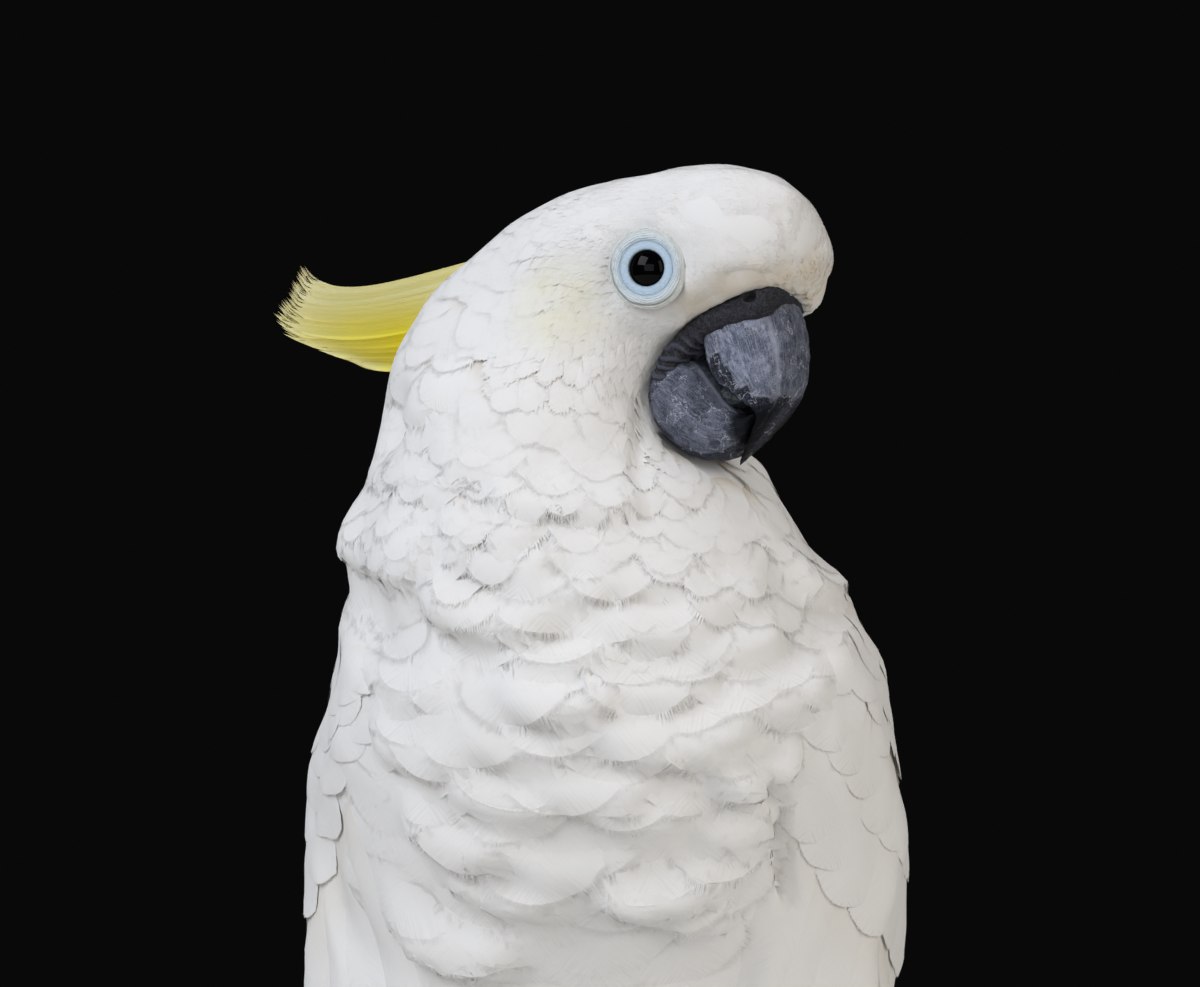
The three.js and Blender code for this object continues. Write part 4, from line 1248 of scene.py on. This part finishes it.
def bill_horn(name):
    """Slate-grey keratin, matt and scratched on its worn outer layer, near black and glossier at the tip."""
    made, tree, surface = material(name, Specular_IOR_Level=0.07)
    marks = ("layer", "ridge", "worn", "round", "along")
    values = [add(tree, "Attribute", out="Fac", attribute_name=mark) for mark in marks]
    layer, ridge, worn, way_round, along = values
    lengthwise = add(tree, "CombineXYZ", way_round, along)
    place = add(tree, "TexCoord", out="Object")
    scratches = grain(tree, lengthwise, 0.005, (1, 26, 1), Detail=4.0, Roughness=0.75)
    rings = grain(tree, lengthwise, 0.006, (34, 1, 1), Detail=3.0)
    patches = grain(tree, place, 3.4 * MM, Detail=7.0, Roughness=0.7)
    grit = grain(tree, place, 0.4 * MM, Detail=3.0, Roughness=0.7)
    split = add(tree, "MapRange", patches, 0.4, 0.5, **SOFT)
    cracks = add(tree, "Math", thin_lines(tree, place, 9 * MM, 0.008), split, operation="MULTIPLY")
    crazed = add(tree, "MapRange", patches, 0.46, 0.6, **SOFT)
    fine_cracks = add(tree, "Math", thin_lines(tree, place, 3.4 * MM, 0.014), crazed, operation="MULTIPLY")
    scratched = add(tree, "MapRange", scratches, 0.5, 0.6, **SOFT)
    dry = add(tree, "Math", layer, 0.3, operation="ADD")
    deep_tone = add(tree, "MixRGB", layer, "#12151D", "#555B6D")
    bloom = add(tree, "MixRGB", layer, "#2A3040", "#979DB1")
    tone = add(tree, "MixRGB", add(tree, "MapRange", patches, 0.38, 0.66, **SOFT), deep_tone, bloom)
    layers = [
        (add(tree, "Math", scratched, dry, operation="MULTIPLY"), 0.6, "#A9ADBC"),
        (add(tree, "MapRange", rings, 0.58, 0.72, **SOFT), 0.35, "#7E8392"),
        (add(tree, "MapRange", grit, 0.52, 0.66, **SOFT), 0.4, "#828796"),
        (add(tree, "MapRange", grit, 0.46, 0.36, **SOFT), 0.5, "#101218"),
        (fine_cracks, 0.3, "#9598A4"),
        (cracks, 0.85, "#BFC1C9"),
        # Pale lines: a painted highlight along the culmen's ridge, with the worn layer's pale lip and the
        # lower bill's rim and arc.
        (ridge, 0.6, "#A2A6B3"),
        (worn, 0.95, "#0B0D12"),
    ]
    rough = add(tree, "MapRange", worn, named={"To Min": 0.6, "To Max": 0.4})
    tree.links.new(rough, surface.inputs["Roughness"])
    height = add(tree, "Math", add(tree, "Math", scratches, 0.8, operation="MULTIPLY"), grit, operation="ADD")
    cut = add(tree, "Math", cracks, 0.7, operation="MULTIPLY")
    height = add(tree, "Math", height, cut, operation="SUBTRACT")
    finish(tree, surface, painted(tree, tone, *layers), height, 0.7, 0.3)
    return made


def dark_skin(name, low, high):
    """Dark leathery skin, paler on the crests of its folds and darker in the creases, with painted shade near
    black in the nostril pits.
    """
    made, tree, surface = material(name, Roughness=0.7, Specular_IOR_Level=0.4)
    place = add(tree, "TexCoord", out="Object")
    grit = grain(tree, place, 0.6 * MM, Detail=3.0)
    flecks = grain(tree, place, 0.45 * MM, Detail=4.0, Roughness=0.75)
    fold = add(tree, "Attribute", out="Fac", attribute_name="fold")
    pit = add(tree, "Attribute", out="Fac", attribute_name="pit")
    tone = add(tree, "MixRGB", add(tree, "MapRange", grit, 0.42, 0.62, **SOFT), low, high)
    layers = [
        (add(tree, "MapRange", flecks, 0.58, 0.68, **SOFT), 0.5, "#6C707C"),
        (add(tree, "MapRange", fold, -0.2, 0.9, **SOFT), 0.4, "#5C6075"),
        # Painted shade: near black in the nostril pits, for the dark inside of the openings.
        (pit, 1.0, "#050505"),
    ]
    finish(tree, surface, painted(tree, tone, *layers), grit, 0.8, 0.4)
    return made


def eye_skin():
    """Bare skin round the eye: pebbled blue next to it, then a whitish rim, and a groove outside it painted
    with grey-green shadow on its lower half.
    """
    made, tree, surface = material("eye_ring_skin", Roughness=0.55, Specular_IOR_Level=0.35)
    place = add(tree, "TexCoord", out="Object")
    away = add(tree, "Attribute", out="Fac", attribute_name="ring")
    low = add(tree, "Attribute", out="Fac", attribute_name="low")
    ring = add(tree, "MapRange", away, 4.0, 10.0)
    stops = [
        (0.04, "#27303A"), (0.1, "#ABC3D8"), (0.22, "#C0D5E8"), (0.37, "#B9CEE2"), (0.42, "#9BAEBC"),
        (0.46, "#C2D1DB"), (0.58, "#D6E0E6"), (0.72, "#D9E0E2"), (0.79, "#D0D5D4"), (0.95, "#E2E2DE"),
    ]
    tone = add(tree, "ValToRGB", ring, stops=stops)
    pebbles = add(tree, "TexVoronoi", place, named={"Scale": 1 / (0.75 * MM)})
    blue = add(tree, "MapRange", ring, 0.42, 0.36, **SOFT)
    raised = add(tree, "MapRange", pebbles, 0.45, 0.25, **SOFT)
    blotch = grain(tree, place, 1.6 * MM, Detail=3.0)
    off = add(tree, "Math", add(tree, "Math", away, 8.8, operation="SUBTRACT"), operation="ABSOLUTE")
    groove = add(tree, "MapRange", off, 0.45, 0.1, **SOFT)
    layers = [
        (add(tree, "Math", raised, blue, operation="MULTIPLY"), 0.45, "#C9D6D6"),
        (add(tree, "MapRange", blotch, 0.5, 0.7, **SOFT), 0.3, "#9DB0B8"),
        # Painted shadow: grey-green in the groove outside the rim, on its lower half only, where shade falls.
        (add(tree, "Math", groove, low, operation="MULTIPLY"), 0.8, "#8D9385"),
    ]
    fine = add(tree, "Math", grain(tree, place, 0.35 * MM, Detail=2.0), 0.4, operation="MULTIPLY")
    height = add(tree, "Math", fine, pebbles, operation="SUBTRACT")
    finish(tree, surface, painted(tree, tone, *layers), height, 0.45, 0.25)
    return made


def scaled_skin():
    """Grey skin of the feet, covered with small rounded scales and powdered pale."""
    made, tree, surface = material("foot_scales", Roughness=0.65)
    place = add(tree, "TexCoord", out="Object")
    scales = add(tree, "TexVoronoi", place, named={"Scale": 1 / (1.5 * MM)}, feature="DISTANCE_TO_EDGE")
    edge = add(tree, "MapRange", scales, 0.02, 0.16, **SOFT)
    dust = grain(tree, place, 2.5 * MM, Detail=4.0)
    powder = add(tree, "MapRange", dust, 0.4, 0.62, **SOFT)
    tone = add(tree, "MixRGB", powder, "#4B4D56", "#767983")
    finish(tree, surface, add(tree, "MixRGB", edge, "#2C2D33", tone), edge, 0.7, 0.35)
    return made


def dress(piece, made, slot, *nodes):
    """Gives a piece its material, and lets it stand for CAD nodes. slot is not used."""
    piece.data.materials.clear()
    piece.data.materials.append(made)
    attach(piece, "root")
    if nodes:
        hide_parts(*nodes)


# ---- Dressing the pieces ----
# Each vane's first colour is at its roots: warmer, partly yellowish down and partly painted crease shade.
body_white = feather_vane("body_feathers", "#E4DBCB", "#EFEEEC", 0.1)
wing_white = feather_vane("flight_feathers", "#E9E5DC", "#EFEEEC", 0.1)
horn_dark = bill_horn("bill_worn_keratin")
bare_dark = dark_skin("cere_skin", "#0C0C0F", "#2B2B33")
tongue_grey = dark_skin("tongue", "#202326", "#4B5454")
claw_horn = bill_horn("claw_keratin")
lemon = crest_strands()
eye_wet, _, _ = material("wet_eye", Base_Color=colour("#050404"), Roughness=0.03, Specular_IOR_Level=0.1)
ring_skin = eye_skin()
foot_skin = scaled_skin()


def refined(name, node_name, voxel, rounds):
    """A denser copy of a CAD node, whose edges are softened in a number of rounds."""
    copy = merged_copy(name, [node_name])
    remesh = ("REMESH", {"mode": "VOXEL", "voxel_size": voxel * MM})
    mesh = modified(copy, remesh, ("SMOOTH", {"factor": 0.5, "iterations": rounds}))
    mesh.polygons.foreach_set("use_smooth", np.ones(len(mesh.polygons), bool))
    return copy


dress(skin, body_white, "plumage", *FLESH)
for piece in plumage():
    dress(piece, body_white, "plumage")
for side in SIDES.values():
    for piece in wing_rows(side):
        dress(piece, wing_white, "flight")
dress(lesser_coverts(), wing_white, "plumage")
dress(tail_feathers(), wing_white, "flight", "tail")
dress(crest_plumes(), lemon, "crest", "crest")
dress(upper_bill(), horn_dark, "bill", "upper_bill")
dress(lower_bill(), horn_dark, "bill", "lower_bill")
dress(bill_root(), bare_dark, "bare_skin", "bill_skin")
dress(refined("tongue_flesh", "tongue", 0.25, 6), tongue_grey, "bare_skin", "tongue")
for name, side in SIDES.items():
    dress(eyeball(name, side), eye_wet, "eye", f"{name}_eye")
    dress(eye_ring(name, side), ring_skin, "eye_ring", f"{name}_eye_ring")
    foot = refined(f"{name}_foot_scales", f"{name}_foot", 0.5, 4)
    dress(foot, foot_skin, "leg", f"{name}_foot")
    for toe in range(1, 5):
        claw = f"{name}_claw_{toe}"
        piece = refined(f"{claw}_horn", claw, 0.25, 5)
        dress(piece, claw_horn, "claw", claw)


# ---- Camera, light and floor ----
def camera():
    data = bpy.data.cameras.new("camera")
    data.sensor_width = 36
    data.lens = 625
    obj = new_object("camera", data)
    obj.location = (0.0026, -5.08, 0.2112)
    obj.rotation_euler = (math.pi / 2, 0, 0)
    data.clip_start = 0.05
    bpy.context.scene.camera = obj


def softbox(name, place, size, power, tint="#FFFFFF"):
    data = bpy.data.lights.new(name, "AREA")
    data.shape = "RECTANGLE"
    data.size, data.size_y = size
    data.energy = power
    data.color = colour(tint)[:3]
    obj = new_object(name, data)
    obj.location = place
    obj.rotation_euler = (Vector((0, -0.05, 0.17)) - Vector(place)).to_track_quat("-Z", "Y").to_euler()


def studio():
    world = bpy.data.worlds.new("studio")
    world.use_nodes = True
    world.node_tree.nodes["Background"].inputs["Color"].default_value = colour("#0A0909")
    bpy.context.scene.world = world
    softbox("key", (-1.45, -1.25, 1.6), (1.5, 1.5), 40, "#F2F6FF")
    softbox("fill", (1.9, -1.3, 0.8), (2.0, 2.0), 26, "#FFF8F0")
    softbox("top", (0.1, 0.4, 2.0), (2.2, 1.6), 12, "#F8FAFF")
    softbox("front", (-0.6, -2.6, 0.6), (2.0, 1.4), 12.5)


def make_floor():
    bpy.ops.mesh.primitive_circle_add(vertices=96, radius=0.7, fill_type="NGON", location=(0, 0, 0))
    floor = bpy.context.object
    floor.name = "floor"
    made, tree, surface = material("painted_floor", Roughness=0.9)
    speck = grain(tree, add(tree, "TexCoord", out="Object"), 1.5 * MM, Detail=3.0)
    tone = add(tree, "MixRGB", add(tree, "MapRange", speck, 0.35, 0.65, **SOFT), "#D6D4CF", "#DCDAD5")
    finish(tree, surface, tone, speck, 0.2, 0.1)
    floor.data.materials.append(made)


camera()
studio()
make_floor()
bpy.context.scene.view_settings.view_transform = "Standard"
